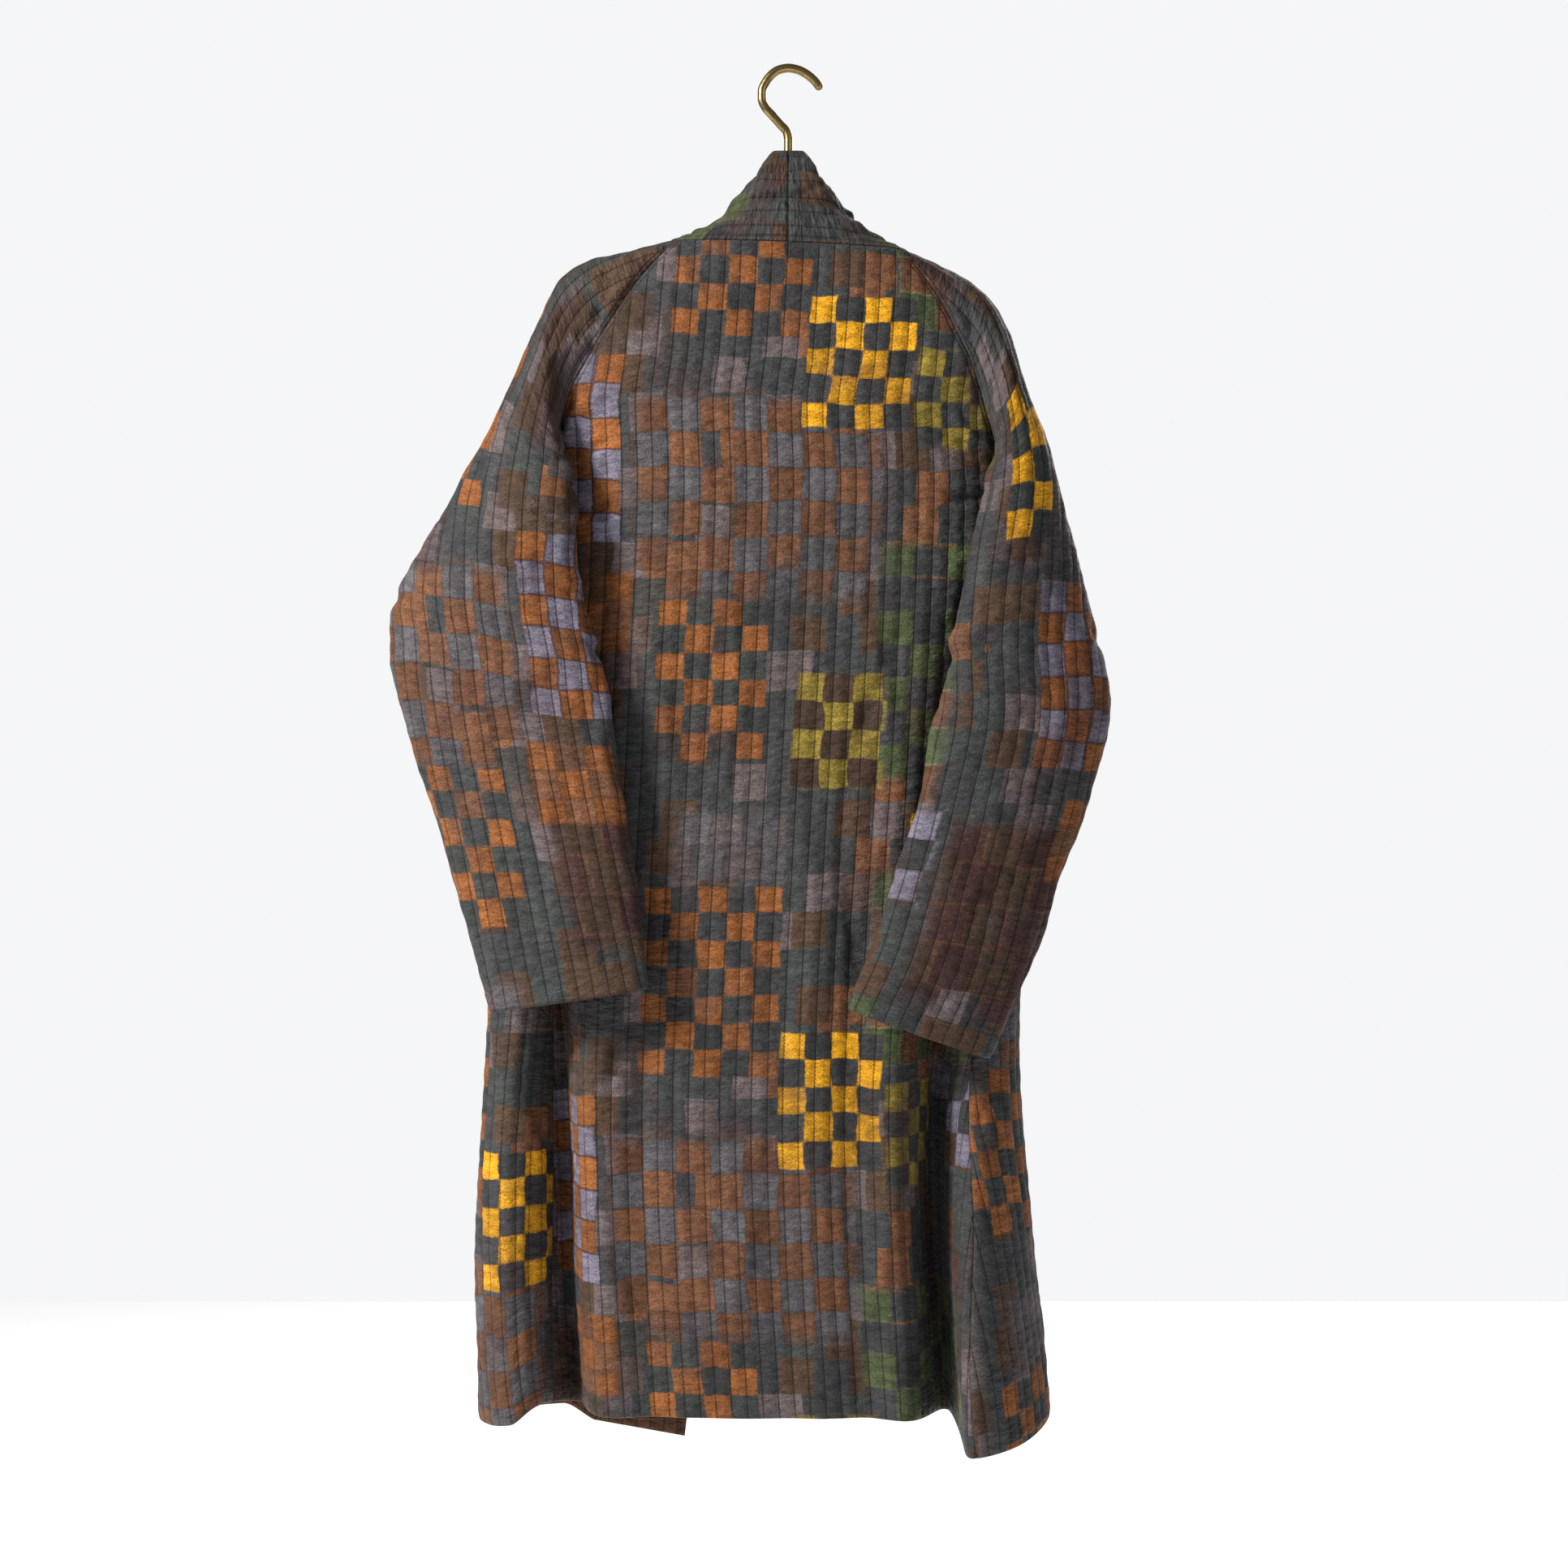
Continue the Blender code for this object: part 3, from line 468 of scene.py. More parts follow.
# Columns at whole fractions of a channel from the origin, clipped just inside the two seams
def clippedColumns(low, high, origin):
    step = cloth["channel"] / cloth["cellsPerChannel"]
    start = math.floor((low - origin).min() / step)
    stop = math.ceil((high - origin).max() / step)
    places = np.arange(start, stop + 1)[None, :] * step + origin[:, None]
    first = (places < (low + 0.4 * step)[:, None]).sum(axis=1) - 1
    last = places.shape[1] - (places > (high - 0.4 * step)[:, None]).sum(axis=1)
    first, last = np.maximum(first, 0), np.minimum(last, places.shape[1] - 1)
    each = np.arange(places.shape[1])[None, :]
    places = np.where(each <= first[:, None], low[:, None], places)
    places = np.where(each >= last[:, None], high[:, None], places)
    return places, first, last


# The inside follows a quarter of the outer face's relief
def wallDepth(height, soft):
    return cloth["thickness"] - cloth["insideFollows"] * np.minimum(height, 1.0) * soft


def lineDistance(distance):
    return np.clip(distance, 0, cloth["farLine"]) * toMetres


# One cut piece between two seams of a surface: each point is moved along its normal by the sum of the quilting, the
# rumples and the creases, less the grooves of the stitched hem and seams
def clothPanel(name, surface, low, high, origin, look, lowNormal=None, highNormal=None):
    places, first, last = clippedColumns(low, high, origin)
    points, normals = placeRows(surface, places)
    for end, given in ((0, lowNormal), (-1, highNormal)):
        if given is not None:
            count = len(given)
            near = first if end == 0 else last
            normals[np.arange(count), near[:count]] = given
    across = places - origin[:, None]
    along = surface["along"][:, None]
    fromSeam = np.minimum(places - low[:, None], high[:, None] - places)
    fromTop = along - along[0]
    fromHem = along[-1] - along
    fromCut = np.minimum(fromSeam, fromTop + cloth["topFree"])
    soft = ramp(np.minimum(fromCut, fromHem), 0.0, cloth["puffFades"])
    wide = ramp(fromCut, 0.0, cloth["rumpleFades"])
    height = quilted(across, along, look["seed"], cloth["puff"]) * soft
    height = height + wide * look["rumple"] * rumple(across, along, look["seed"], 9, *look["waves"])
    nearSeam = ramp(fromCut, 0.0, cloth["creaseFades"])
    height = height + nearSeam * cloth["creaseScale"] * creased(places, along, look["creases"])
    depth, width = cloth["hemGroove"]
    height = height - depth * np.exp(-(((fromHem - look["hemStitch"]) / width) ** 2))
    depth, width = cloth["topGroove"]
    stitched = 1 - ramp(along, look["stitchEnds"] - 12.0, look["stitchEnds"])
    height = height - depth * np.exp(-(((fromSeam - cloth["topstitch"]) / width) ** 2)) * stitched
    outer = points + normals * height[..., None]
    inner = points - normals * wallDepth(height, soft)[..., None]
    values = {
        "across": across + look["printAt"][0],
        "along": along + look["printAt"][1],
        "fromSeam": lineDistance(np.where(stitched > 0.5, fromSeam, cloth["farLine"])),
        "fromHem": lineDistance(np.abs(fromHem - look["hemStitch"])),
    }
    return wallMesh(name, outer, inner, first, last, values, fromHem < 0.01)


# Where along each row an angle lies
def lengthAtAngle(surface, angles):
    return np.array([np.interp(a, bodyAngles, row) for a, row in zip(angles, surface["length"])])


# Where along each row the front of the body reaches a wanted X
def lengthAtFrontX(surface, wanted, side):
    found = []
    for x, points, length in zip(wanted, surface["points"], surface["length"]):
        front = (points[:, 1] > 12) & (side * length > 0)
        order = np.argsort(points[front, 0])
        found.append(np.interp(x, points[front, 0][order], length[front][order]))
    return np.array(found)


# The mean of two normals at a seam, or the piece's own where they face apart
def sharedNormal(own, other):
    closeness = ramp(np.einsum("ij,ij->i", own, other), 0.0, 0.5)
    return unit(own + other * closeness[:, None])


# How far the side seams flare out below the armpits, and the X of the front seams, on each side by height
sideColumns = ("z", "left", "right")
sideFlare = [(-375, 0, 0), (-600, 4, 12), (-800, 18, 38), (-900, 30, 62), (-1050, 44, 104), (-1208, 58, 122)]
frontSeam = [
    (-168, -88, 89), (-222, -92, 92), (-300, -98, 96), (-600, -122, 106), (-860, -148, 115), (-1260, -184, 132),
]

# Rows of the grids: t runs 0 to 1 down the raglan seams and on to 2 at the cuff, and the body goes on by height
raglanRows = np.linspace(0.0, 1.0, 53)
tubeRows = np.linspace(1.0, 2.0, 121)
bodyRows = np.linspace(-375.0, -1208.0, 205)
sleeveT = np.concatenate([raglanRows, tubeRows[1:]])
sleeves = {-1: sleeveSurface(leftSleeve, -1, sleeveT), 1: sleeveSurface(rightSleeve, 1, sleeveT)}
raglanCount = len(raglanRows)
backZ = np.concatenate([readTable(raglanSeams, raglanColumns, "t", "backZ", raglanRows), bodyRows[1:]])
frontZ = np.concatenate([readTable(raglanSeams, raglanColumns, "t", "frontZ", raglanRows), bodyRows[1:]])
back, front = bodySurface(backZ), bodySurface(frontZ)
print("stage: surfaces")

seamAt, cutNormals = {}, {}
for side in (-1, 1):
    backAngle = side * readTable(raglanSeams, raglanColumns, "t", "backAngle", raglanRows)
    frontAngle = side * readTable(raglanSeams, raglanColumns, "t", "frontAngle", raglanRows)
    backAt = lengthAtAngle({"length": back["length"][:raglanCount]}, backAngle)
    frontAt = lengthAtAngle({"length": front["length"][:raglanCount]}, frontAngle)
    flare = readTable(sideFlare, sideColumns, "z", "left" if side < 0 else "right", bodyRows[1:])
    edge = backAt[-1] + side * flare
    seamAt[side, "back"] = np.concatenate([backAt, edge])
    seamAt[side, "front"] = np.concatenate([frontAt, edge])
    for which, surface, end in (("back", back, 0), ("front", front, -1)):
        at = seamAt[side, which][:raglanCount]
        rows = {key: surface[key][:raglanCount] for key in ("points", "normals", "length")}
        own = placeRows(rows, at[:, None])[1][:, 0]
        other = sleeves[side]["normals"][:raglanCount, end]
        cutNormals[side, which, "body"] = sharedNormal(own, other)
        cutNormals[side, which, "sleeve"] = sharedNormal(other, own)


backLook = {
    "seed": 11,
    "rumple": 0.8,
    "waves": (95.0, 240.0),
    "hemStitch": 26.0,
    "stitchEnds": 372.0,
    "printAt": (308.0, 0.0),
    "creases": [
        (-206, 352, -150, 296, 6, 1.8),
        (-214, 368, -146, 326, 5, -1.9),
        (-216, 380, -140, 352, 6, 2.2),
        (-216, 394, -136, 384, 5, -2.1),
        (-214, 408, -144, 424, 6, 2.1),
        (-210, 420, -158, 476, 6, -1.6),
        (-204, 440, -166, 540, 7, 1.6),
        (204, 348, 156, 300, 6, 1.7),
        (212, 364, 150, 332, 5, -1.9),
        (214, 378, 144, 362, 6, 2.1),
        (214, 394, 146, 396, 5, -1.9),
        (210, 410, 156, 446, 6, 1.9),
        (204, 430, 166, 520, 7, -1.5),
        (-60, 168, 10, 176, 5, 1.6),
        (-90, 176, -30, 196, 6, -1.4),
        (-120, 500, -118, 760, 9, 1.6),
        (-64, 430, -58, 700, 10, 1.3),
        (12, 620, 4, 980, 12, 1.3),
        (70, 470, 78, 800, 10, 1.5),
        (118, 500, 112, 860, 9, -1.5),
        (-96, 820, -104, 1120, 10, -1.6),
        (-34, 760, -40, 1150, 11, 1.4),
        (40, 880, 44, 1180, 10, -1.3),
        (96, 860, 84, 1160, 9, 1.7),
    ],
}
half = cloth["halfGap"]
origin = np.zeros(len(backZ))
backPanel = clothPanel(
    "cloth_back", back, seamAt[-1, "back"] + half, seamAt[1, "back"] - half, origin, backLook,
    cutNormals[-1, "back", "body"], cutNormals[1, "back", "body"],
)
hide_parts("back_panel")

frontLooks = {
    -1: {
        "seed": 23, "rumple": 0.8, "waves": (95.0, 260.0), "hemStitch": 26.0, "stitchEnds": 372.0,
        "printAt": (1400.0, 90.0),
        "creases": [
            (-330, 360, -390, 330, 7, 2.0), (-300, 400, -370, 420, 7, -1.8), (-330, 520, -340, 820, 10, 1.5),
            (-400, 620, -404, 980, 10, -1.5), (-300, 900, -296, 1150, 10, 1.6), (-430, 880, -440, 1160, 9, 1.3),
        ],
    },
    1: {
        "seed": 29, "rumple": 0.8, "waves": (95.0, 260.0), "hemStitch": 26.0, "stitchEnds": 372.0,
        "printAt": (2296.0, 210.0),
        "creases": [
            (330, 362, 388, 330, 7, 2.0), (300, 402, 368, 424, 7, -1.8), (334, 540, 344, 840, 10, 1.5),
            (396, 600, 400, 960, 10, 1.5), (310, 900, 304, 1150, 10, -1.6), (430, 860, 436, 1160, 9, 1.3),
        ],
    },
}
bandAt, fronts = {}, {}
for side, name in ((-1, "left"), (1, "right")):
    seamX = readTable(frontSeam, sideColumns, "z", name, frontZ)
    bandAt[side] = lengthAtFrontX(front, seamX, side)
    outerEdge, innerEdge = seamAt[side, "front"] + side * half, bandAt[side] - side * half
    low, high = (outerEdge, innerEdge) if side > 0 else (innerEdge, outerEdge)
    normals = cutNormals[side, "front", "body"]
    ends = (normals, None) if side > 0 else (None, normals)
    piece = clothPanel("cloth_front_" + name, front, low, high, bandAt[side], frontLooks[side], *ends)
    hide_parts("front_panel_" + name)
    fronts[side] = piece

sleeveLooks = {
    -1: {
        "seed": 41, "rumple": 1.0, "waves": (80.0, 170.0), "hemStitch": 18.0, "stitchEnds": 190.0,
        "printAt": (3304.0, 120.0),
        "creases": [
            (-40, 30, -100, 110, 7, 1.8), (-20, 60, -90, 150, 7, -1.7), (-60, 20, -120, 80, 6, 1.5),
            (-100, 96, -30, 176, 6, 1.5), (-118, 130, -60, 240, 5, -1.6), (-128, 150, -84, 262, 5, 1.8),
            (-150, 190, -60, 230, 6, 2.0), (-160, 215, -70, 275, 5, -2.0), (-150, 240, -80, 320, 6, 2.0),
            (-134, 262, -104, 350, 5, -1.5), (-20, 330, -110, 350, 6, 2.2), (-10, 352, -100, 372, 5, -2.2),
            (-20, 372, -120, 402, 6, 2.2), (-40, 396, -130, 432, 5, -1.9), (-110, 440, -118, 600, 8, 2.1),
            (-84, 470, -90, 640, 8, -1.7), (-140, 500, -146, 650, 7, 1.5), (-46, 520, -56, 690, 9, 1.3),
            (70, 330, 140, 352, 6, 1.9), (60, 360, 130, 392, 6, -1.8), (90, 180, 40, 250, 6, 1.6),
            (150, 200, 70, 262, 6, -1.6), (110, 440, 124, 640, 9, 1.6),
        ],
    },
    1: {
        "seed": 43, "rumple": 1.0, "waves": (80.0, 170.0), "hemStitch": 18.0, "stitchEnds": 190.0,
        "printAt": (4396.0, 300.0),
        "creases": [
            (-40, 30, -100, 120, 7, 1.6), (-20, 70, -90, 160, 7, -1.5), (-96, 110, -40, 190, 6, 1.5),
            (-110, 150, -60, 250, 5, -1.6), (-150, 190, -60, 235, 6, 2.0), (-160, 215, -70, 280, 5, -1.9),
            (-140, 240, -70, 330, 6, 1.8), (-30, 360, -110, 380, 7, 1.8), (-20, 390, -110, 420, 6, -1.6),
            (-100, 440, -108, 620, 8, 1.8), (-70, 460, -76, 640, 8, -1.6), (-30, 500, -36, 660, 9, 1.2),
            (70, 340, 140, 362, 7, 1.7), (60, 372, 130, 402, 6, -1.6), (90, 190, 44, 256, 6, 1.5),
            (110, 450, 118, 640, 9, 1.4),
        ],
    },
}
sleevePieces = {}
for side, name in ((-1, "left"), (1, "right")):
    surface = sleeves[side]
    low, high = surface["length"][:, 0] + half, surface["length"][:, -1] - half
    sleevePieces[side] = clothPanel(
        "cloth_sleeve_" + name, surface, low, high, np.zeros(len(low)), sleeveLooks[side],
        cutNormals[side, "back", "sleeve"], cutNormals[side, "front", "sleeve"],
    )
    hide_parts("sleeve_" + name)


# The grid's normals, each mixed with the rows beside it a few times
def evenedNormals(points, towards, times):
    face = gridNormals(points, 1)
    if np.einsum("ijk,ik->", face, towards) < 0:
        face = -face
    for _ in range(times):
        face[1:-1] = (face[:-2] + 2 * face[1:-1] + face[2:]) / 4
    return unit(face)


# The neck band's own edge and how far the band arches, by length from the middle of the neck
bandColumns = ("length", "x", "y", "z", "bow")
bandEdge = [
    (0, 0, -14, -70, 6),
    (40, 12, -13, -70, 4),
    (70, 19, -8, -75, -3),
    (100, 26, 4, -92, -10),
    (135, 36, 20, -112, -12),
    (178, 39, 36, -140, -7),
    (212, 34, 44, -172, -3),
    (250, 26, 48, -212, 0),
    (300, 15, 50, -268, 0),
    (380, 8, 51, -350, 0),
]
# Rolls of the standing collar: place across, width, height
bandRolls = [(22, 8, 2.5), (38, 7, -2.0), (56, 9, 4.5), (70, 6, -4.0)]


# A straight line from each point of the neck and front seams to the band's own edge, arched across by half a sine
# wave, with rolls at the neck as bells
def neckBand(name, side, look):
    pitch = cloth["channel"]
    backStop = seamAt[side, "back"][0] - side * half
    backAt = side * np.arange(pitch, abs(backStop) - 2.6, pitch)
    topRow = {key: sleeves[side][key][:1] for key in ("points", "normals", "length")}
    low, high = topRow["length"][0, 0], topRow["length"][0, -1]
    topAt = np.arange(math.ceil((low + 3.0) / 7.0), math.floor((high - 3.0) / 7.0) + 1) * 7.0
    rowZero = {key: back[key][:1] for key in ("points", "normals", "length")}
    centre = placeRows(rowZero, np.array([[0.0]]))
    backPart = placeRows(rowZero, np.concatenate([backAt, [backStop]])[None])
    topPart = placeRows(topRow, topAt[None])
    below = np.arange(raglanCount - 1, len(frontZ), 5)
    some = np.unique(np.concatenate([np.arange(0, raglanCount, 6), below, [len(frontZ) - 1]]))
    frontRows = {key: front[key][some] for key in ("points", "normals", "length")}
    seam = placeRows(frontRows, bandAt[side][some][:, None])
    free = placeRows(frontRows, (bandAt[side][some] + side * cloth["bandWidth"])[:, None])
    centrePoint = centre[0][0] + np.array([side * cloth["centreGap"], 0, 0])
    starts = np.vstack([centrePoint, backPart[0][0], topPart[0][0], seam[0][:, 0]])
    normals = np.vstack([centre[1][0], backPart[1][0], topPart[1][0], seam[1][:, 0]])
    length = lengthsAlong(starts[None])[0]
    edges = [readTable(bandEdge, bandColumns, "length", key, length) for key in ("x", "y", "z")]
    edges = np.stack(edges, axis=-1)
    edges[:, 0] *= side
    edges[0, 0] = starts[0, 0]
    down = ramp(seam[0][:, 0, 2], -250, -360)[:, None]
    neckCount = len(starts) - len(some)
    edges[neckCount:] = edges[neckCount:] * (1 - down) + free[0][:, 0] * down
    starts = starts + unit(edges - starts) * cloth["bandGap"]
    step = pitch / cloth["cellsPerChannel"]
    places = np.concatenate([np.arange(0, cloth["bandWidth"] - 0.4 * step, step), [cloth["bandWidth"]]])
    share = (places / cloth["bandWidth"])[None, :, None]
    grid = starts[:, None] + (edges - starts)[:, None] * share
    arch = readTable(bandEdge, bandColumns, "length", "bow", length)
    rolls = sum(height * np.exp(-(((places - across) / width) ** 2)) for across, width, height in bandRolls)
    bow = arch[:, None] * np.sin(np.pi * places / cloth["bandWidth"])
    bow = bow + (1 - ramp(length, 110, 190))[:, None] * (rolls * ramp(places, 0.0, 10.0))
    grid = grid + evenedNormals(grid, normals, 2) * bow[..., None]
    grid[0, :, 0] = starts[0, 0]
    face = evenedNormals(grid, normals, 2)
    face[:, 0] = normals
    face[0, :, 0] = 0.0
    face = unit(face)
    count = int(round(length[-1] / cloth["rowStep"])) + 1
    fine = np.linspace(0, length[-1], count)
    flat = np.concatenate([grid.reshape(len(length), -1), face.reshape(len(length), -1)], axis=1)
    flat = np.stack([throughPoints(length, flat[:, k], fine) for k in range(flat.shape[1])], axis=-1)
    middle = flat.shape[1] // 2
    points = flat[:, :middle].reshape(count, len(places), 3)
    face = unit(flat[:, middle:].reshape(count, len(places), 3))
    across, along = places[None, :], fine[:, None]
    fromEdge = np.minimum(across, cloth["bandWidth"] - across)
    soft = ramp(fromEdge, 0.0, cloth["puffFades"]) * ramp(along, 0.0, 5.0)
    soft = soft * ramp(fine[-1] - along, 0.0, cloth["puffFades"])
    height = quilted(across, along, look["seed"], cloth["puff"]) * soft
    height = height + soft * look["rumple"] * rumple(across, along, look["seed"], 9, *look["waves"])
    height = height + soft * cloth["collarScale"] * creased(across, along, look["creases"])
    outer = points + face * height[..., None]
    inner = points - face * wallDepth(height, soft)[..., None]
    values = {
        "across": across + look["printAt"][0] + 0 * along,
        "along": along + look["printAt"][1] + 0 * across,
        "fromSeam": lineDistance(np.abs(fromEdge - 1.0) + 0 * along),
        "fromHem": np.full((count, len(places)), cloth["farLine"] * toMetres),
    }
    rows = np.arange(count)
    freeEdge = (across > cloth["bandWidth"] - 0.01) | (along > fine[-1] - 0.01)
    return wallMesh(name, outer, inner, 0 * rows, 0 * rows + len(places) - 1, values, freeEdge)


# Folds of the standing collar run along it, so they lie at nearly one distance from the neck seam
bandLooks = {
    -1: {
        "seed": 56, "rumple": 0.6, "waves": (60.0, 90.0), "printAt": (6706.0, 60.0),
        "creases": [
            (7, -60, 10, 96, 2.6, -1.6), (13, -60, 17, 90, 3.2, 1.7), (20, -60, 25, 104, 2.6, -1.8),
            (27, -50, 33, 88, 3.4, 1.9), (36, -40, 44, 96, 3.0, -1.7), (50, -60, 47, 60, 4.5, 1.3),
            (61, -60, 59, 84, 3.2, -2.4), (67, -60, 66, 80, 3.6, 1.4), (78, -40, 84, 60, 4.0, -0.9),
            (12, 60, 70, 128, 5.0, 1.6), (24, 84, 84, 150, 5.0, -1.4),
        ],
    },
    1: {
        "seed": 58, "rumple": 0.6, "waves": (60.0, 90.0), "printAt": (6720.0, 25.0),
        "creases": [
            (8, -60, 9, 110, 2.6, -1.7), (14, -60, 19, 84, 3.0, 1.6), (21, -60, 22, 96, 2.6, -1.8),
            (28, -60, 30, 104, 3.2, 1.9), (38, -30, 36, 80, 3.0, -1.5), (49, -60, 52, 70, 4.5, 1.4),
            (60, -60, 62, 70, 3.2, -2.4), (67, -60, 69, 84, 3.6, 1.4), (80, -60, 80, 50, 4.0, -0.9),
            (10, 70, 66, 132, 5.0, 1.6), (30, 80, 86, 140, 5.0, -1.4),
        ],
    },
}
bands = {}
for side, name in ((-1, "left"), (1, "right")):
    bands[side] = neckBand("cloth_neck_band_" + name, side, bandLooks[side])
    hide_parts("neck_band_" + name)


# A tube: a circle of changing radius carried along a path that lies across the Y axis, closed by a fan at each end.
# The signed volume, a third of the sum of each triangle's triple product, tells whether its faces look outwards.
def tubeMesh(name, path, radii, sides):
    tangent = unit(np.gradient(path, axis=0))
    across = np.broadcast_to([0.0, 1.0, 0.0], path.shape)
    upward = unit(np.cross(tangent, across))
    turn = np.linspace(0, 2 * math.pi, sides, endpoint=False)[None, :, None]
    ring = across[:, None] * np.cos(turn) + upward[:, None] * np.sin(turn)
    points = path[:, None] + ring * radii[:, None, None]
    vertices = np.concatenate([points.reshape(-1, 3), path[:1], path[-1:]]) * toMetres
    index = np.arange(len(path) * sides).reshape(len(path), sides)
    beside = np.roll(index, -1, axis=1)
    quads = np.stack([index[:-1], beside[:-1], beside[1:], index[1:]], -1).reshape(-1, 4)
    startCap = np.stack([np.full(sides, len(path) * sides), beside[0], index[0]], -1)
    endCap = np.stack([np.full(sides, len(path) * sides + 1), index[-1], beside[-1]], -1)
    caps = np.concatenate([startCap, endCap])
    corners = vertices[np.concatenate([quads[:, :3], quads[:, [0, 2, 3]], caps])]
    if np.einsum("ij,ij->i", corners[:, 0], np.cross(corners[:, 1], corners[:, 2])).sum() < 0:
        quads, caps = quads[:, ::-1], caps[:, ::-1]
    mesh = bpy.data.meshes.new(name)
    mesh.from_pydata(vertices.tolist(), [], quads.tolist() + caps.tolist())
    mesh.validate()
    mesh.shade_smooth()
    print("stage:", name, len(corners), "triangles")
    return linked(name, mesh)


# The path through the points at one even spacing, and how far along it each new point lies
def evenPath(points, spacing):
    points = np.asarray(points, float)
    keys = np.concatenate([[0], np.cumsum(np.linalg.norm(np.diff(points, axis=0), axis=1))])
    at = np.linspace(0, keys[-1], int(round(keys[-1] / spacing)) + 1)
    return np.stack([throughPoints(keys, points[:, k], at) for k in range(3)], axis=-1), at


# The radius falls to almost nothing at the ends as a quarter circle of the given depth
def endRounded(at, radius, depth, bothEnds):
    shape = np.sqrt(np.clip(1 - (1 - np.clip(at / depth, 0, 1)) ** 2, 0, 1))
    if bothEnds:
        shape = shape * np.sqrt(np.clip(1 - (1 - np.clip((at[-1] - at) / depth, 0, 1)) ** 2, 0, 1))
    return np.maximum(radius * shape, 0.12)


hookShape = {
    "route": [
        (30, -12), (25, -5), (17.5, 1.6), (9, 6.1), (0, 7.8), (-8, 6.4), (-15, 2.1), (-21, -5.6),
        (-24, -13.4), (-24, -20.5), (-21, -28), (-15, -35), (-7, -44), (-1.2, -51), (0, -58), (0, -75),
    ],
    "radius": 4.0,
    "roundEnd": 3.6,
    "spacing": 1.2,
    "sides": 32,
}
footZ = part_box("hanger_hook")[0].z / toMetres
bends = [(x, 0.0, z) for x, z in hookShape["route"]]
bends += [(0, 0.0, (footZ + bends[-1][2]) / 2), (0, 0.0, footZ)]
hookPath, hookAt = evenPath(bends, hookShape["spacing"])
hookRadii = endRounded(hookAt, hookShape["radius"], hookShape["roundEnd"], False)
hook = tubeMesh("brass_hook", hookPath, hookRadii, hookShape["sides"])
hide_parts("hanger_hook")

# The bar runs a little under the line of the shoulders
barShape = {
    "halfLength": 163.0, "radius": 8.0, "y": -2.0, "under": 14.2, "middleRise": 6.0, "roundEnd": 6.0,
    "spacing": 2.5, "sides": 32,
}
ridge = sorted((row[4], row[6]) for row in leftSleeve + rightSleeve if row[0] <= 0.5)
middle = len(ridge) // 2
ridge.insert(middle, (0, (ridge[middle - 1][1] + ridge[middle][1]) / 2 + barShape["middleRise"]))
ridge = np.array(ridge, float)
barX = np.linspace(-barShape["halfLength"], barShape["halfLength"], 17)
barZ = throughPoints(ridge[:, 0], ridge[:, 1], barX) - barShape["under"]
barPath, barAt = evenPath(np.stack([barX, 0 * barX + barShape["y"], barZ], -1), barShape["spacing"])
barRadii = endRounded(barAt, barShape["radius"], barShape["roundEnd"], True)
bar = tubeMesh("beech_bar", barPath, barRadii, barShape["sides"])
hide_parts("hanger_bar")


# Small builder for node trees: each call adds a node, links or sets its inputs and returns its output
class nodeMaker:
    def __init__(self, tree):
        self.tree = tree

    def add(self, kind, **settings):
        node = self.tree.nodes.new("ShaderNode" + kind)
        for key, value in settings.items():
            setattr(node, key, value)
        return node

    def put(self, socket, value):
        if isinstance(value, bpy.types.NodeSocket):
            self.tree.links.new(value, socket)
        else:
            socket.default_value = value

    def math(self, operation, *values):
        node = self.add("Math", operation=operation)
        for socket, value in zip(node.inputs, values):
            self.put(socket, value)
        return node.outputs[0]

    def times(self, a, b):
        return self.math("MULTIPLY", a, b)

    def minus(self, a, b):
        return self.math("SUBTRACT", a, b)

    def over(self, a, b):
        return self.math("DIVIDE", a, b)

    def least(self, a, b):
        return self.math("MINIMUM", a, b)

    def timesPlus(self, a, b, c):
        return self.math("MULTIPLY_ADD", a, b, c)

    def floor(self, a):
        return self.math("FLOOR", a)

    def fromOne(self, a):
        return self.minus(1.0, a)

    def step(self, value, low, high):
        node = self.add("MapRange", interpolation_type="SMOOTHSTEP")
        for label, given in (("Value", value), ("From Min", low), ("From Max", high)):
            self.put(node.inputs[label], given)
        return node.outputs[0]

    def mix(self, share, a, b, blend="MIX"):
        node = self.add("Mix", data_type="RGBA", blend_type=blend)
        for number, given in ((0, share), (6, a), (7, b)):
            self.put(node.inputs[number], given)
        return node.outputs[2]

    def noise(self, vector, scale, detail=2.0, rough=0.5):
        node = self.add("TexNoise")
        for label, given in (("Vector", vector), ("Scale", scale), ("Detail", detail), ("Roughness", rough)):
            self.put(node.inputs[label], given)
        return node.outputs["Fac"]

    def whiteNoise(self, x, y, z):
        node = self.add("TexWhiteNoise", noise_dimensions="3D")
        self.put(node.inputs["Vector"], self.vector(x, y, z))
        return node.outputs["Value"]

    def vector(self, x, y, z=0.0):
        node = self.add("CombineXYZ")
        for socket, value in zip(node.inputs, (x, y, z)):
            self.put(socket, value)
        return node.outputs[0]

    def parts(self, vector):
        node = self.add("SeparateXYZ")
        self.put(node.inputs[0], vector)
        return node.outputs

    def group(self, group, **values):
        node = self.add("Group", node_tree=group)
        for label, value in values.items():
            self.put(node.inputs[label], value)
        return node.outputs


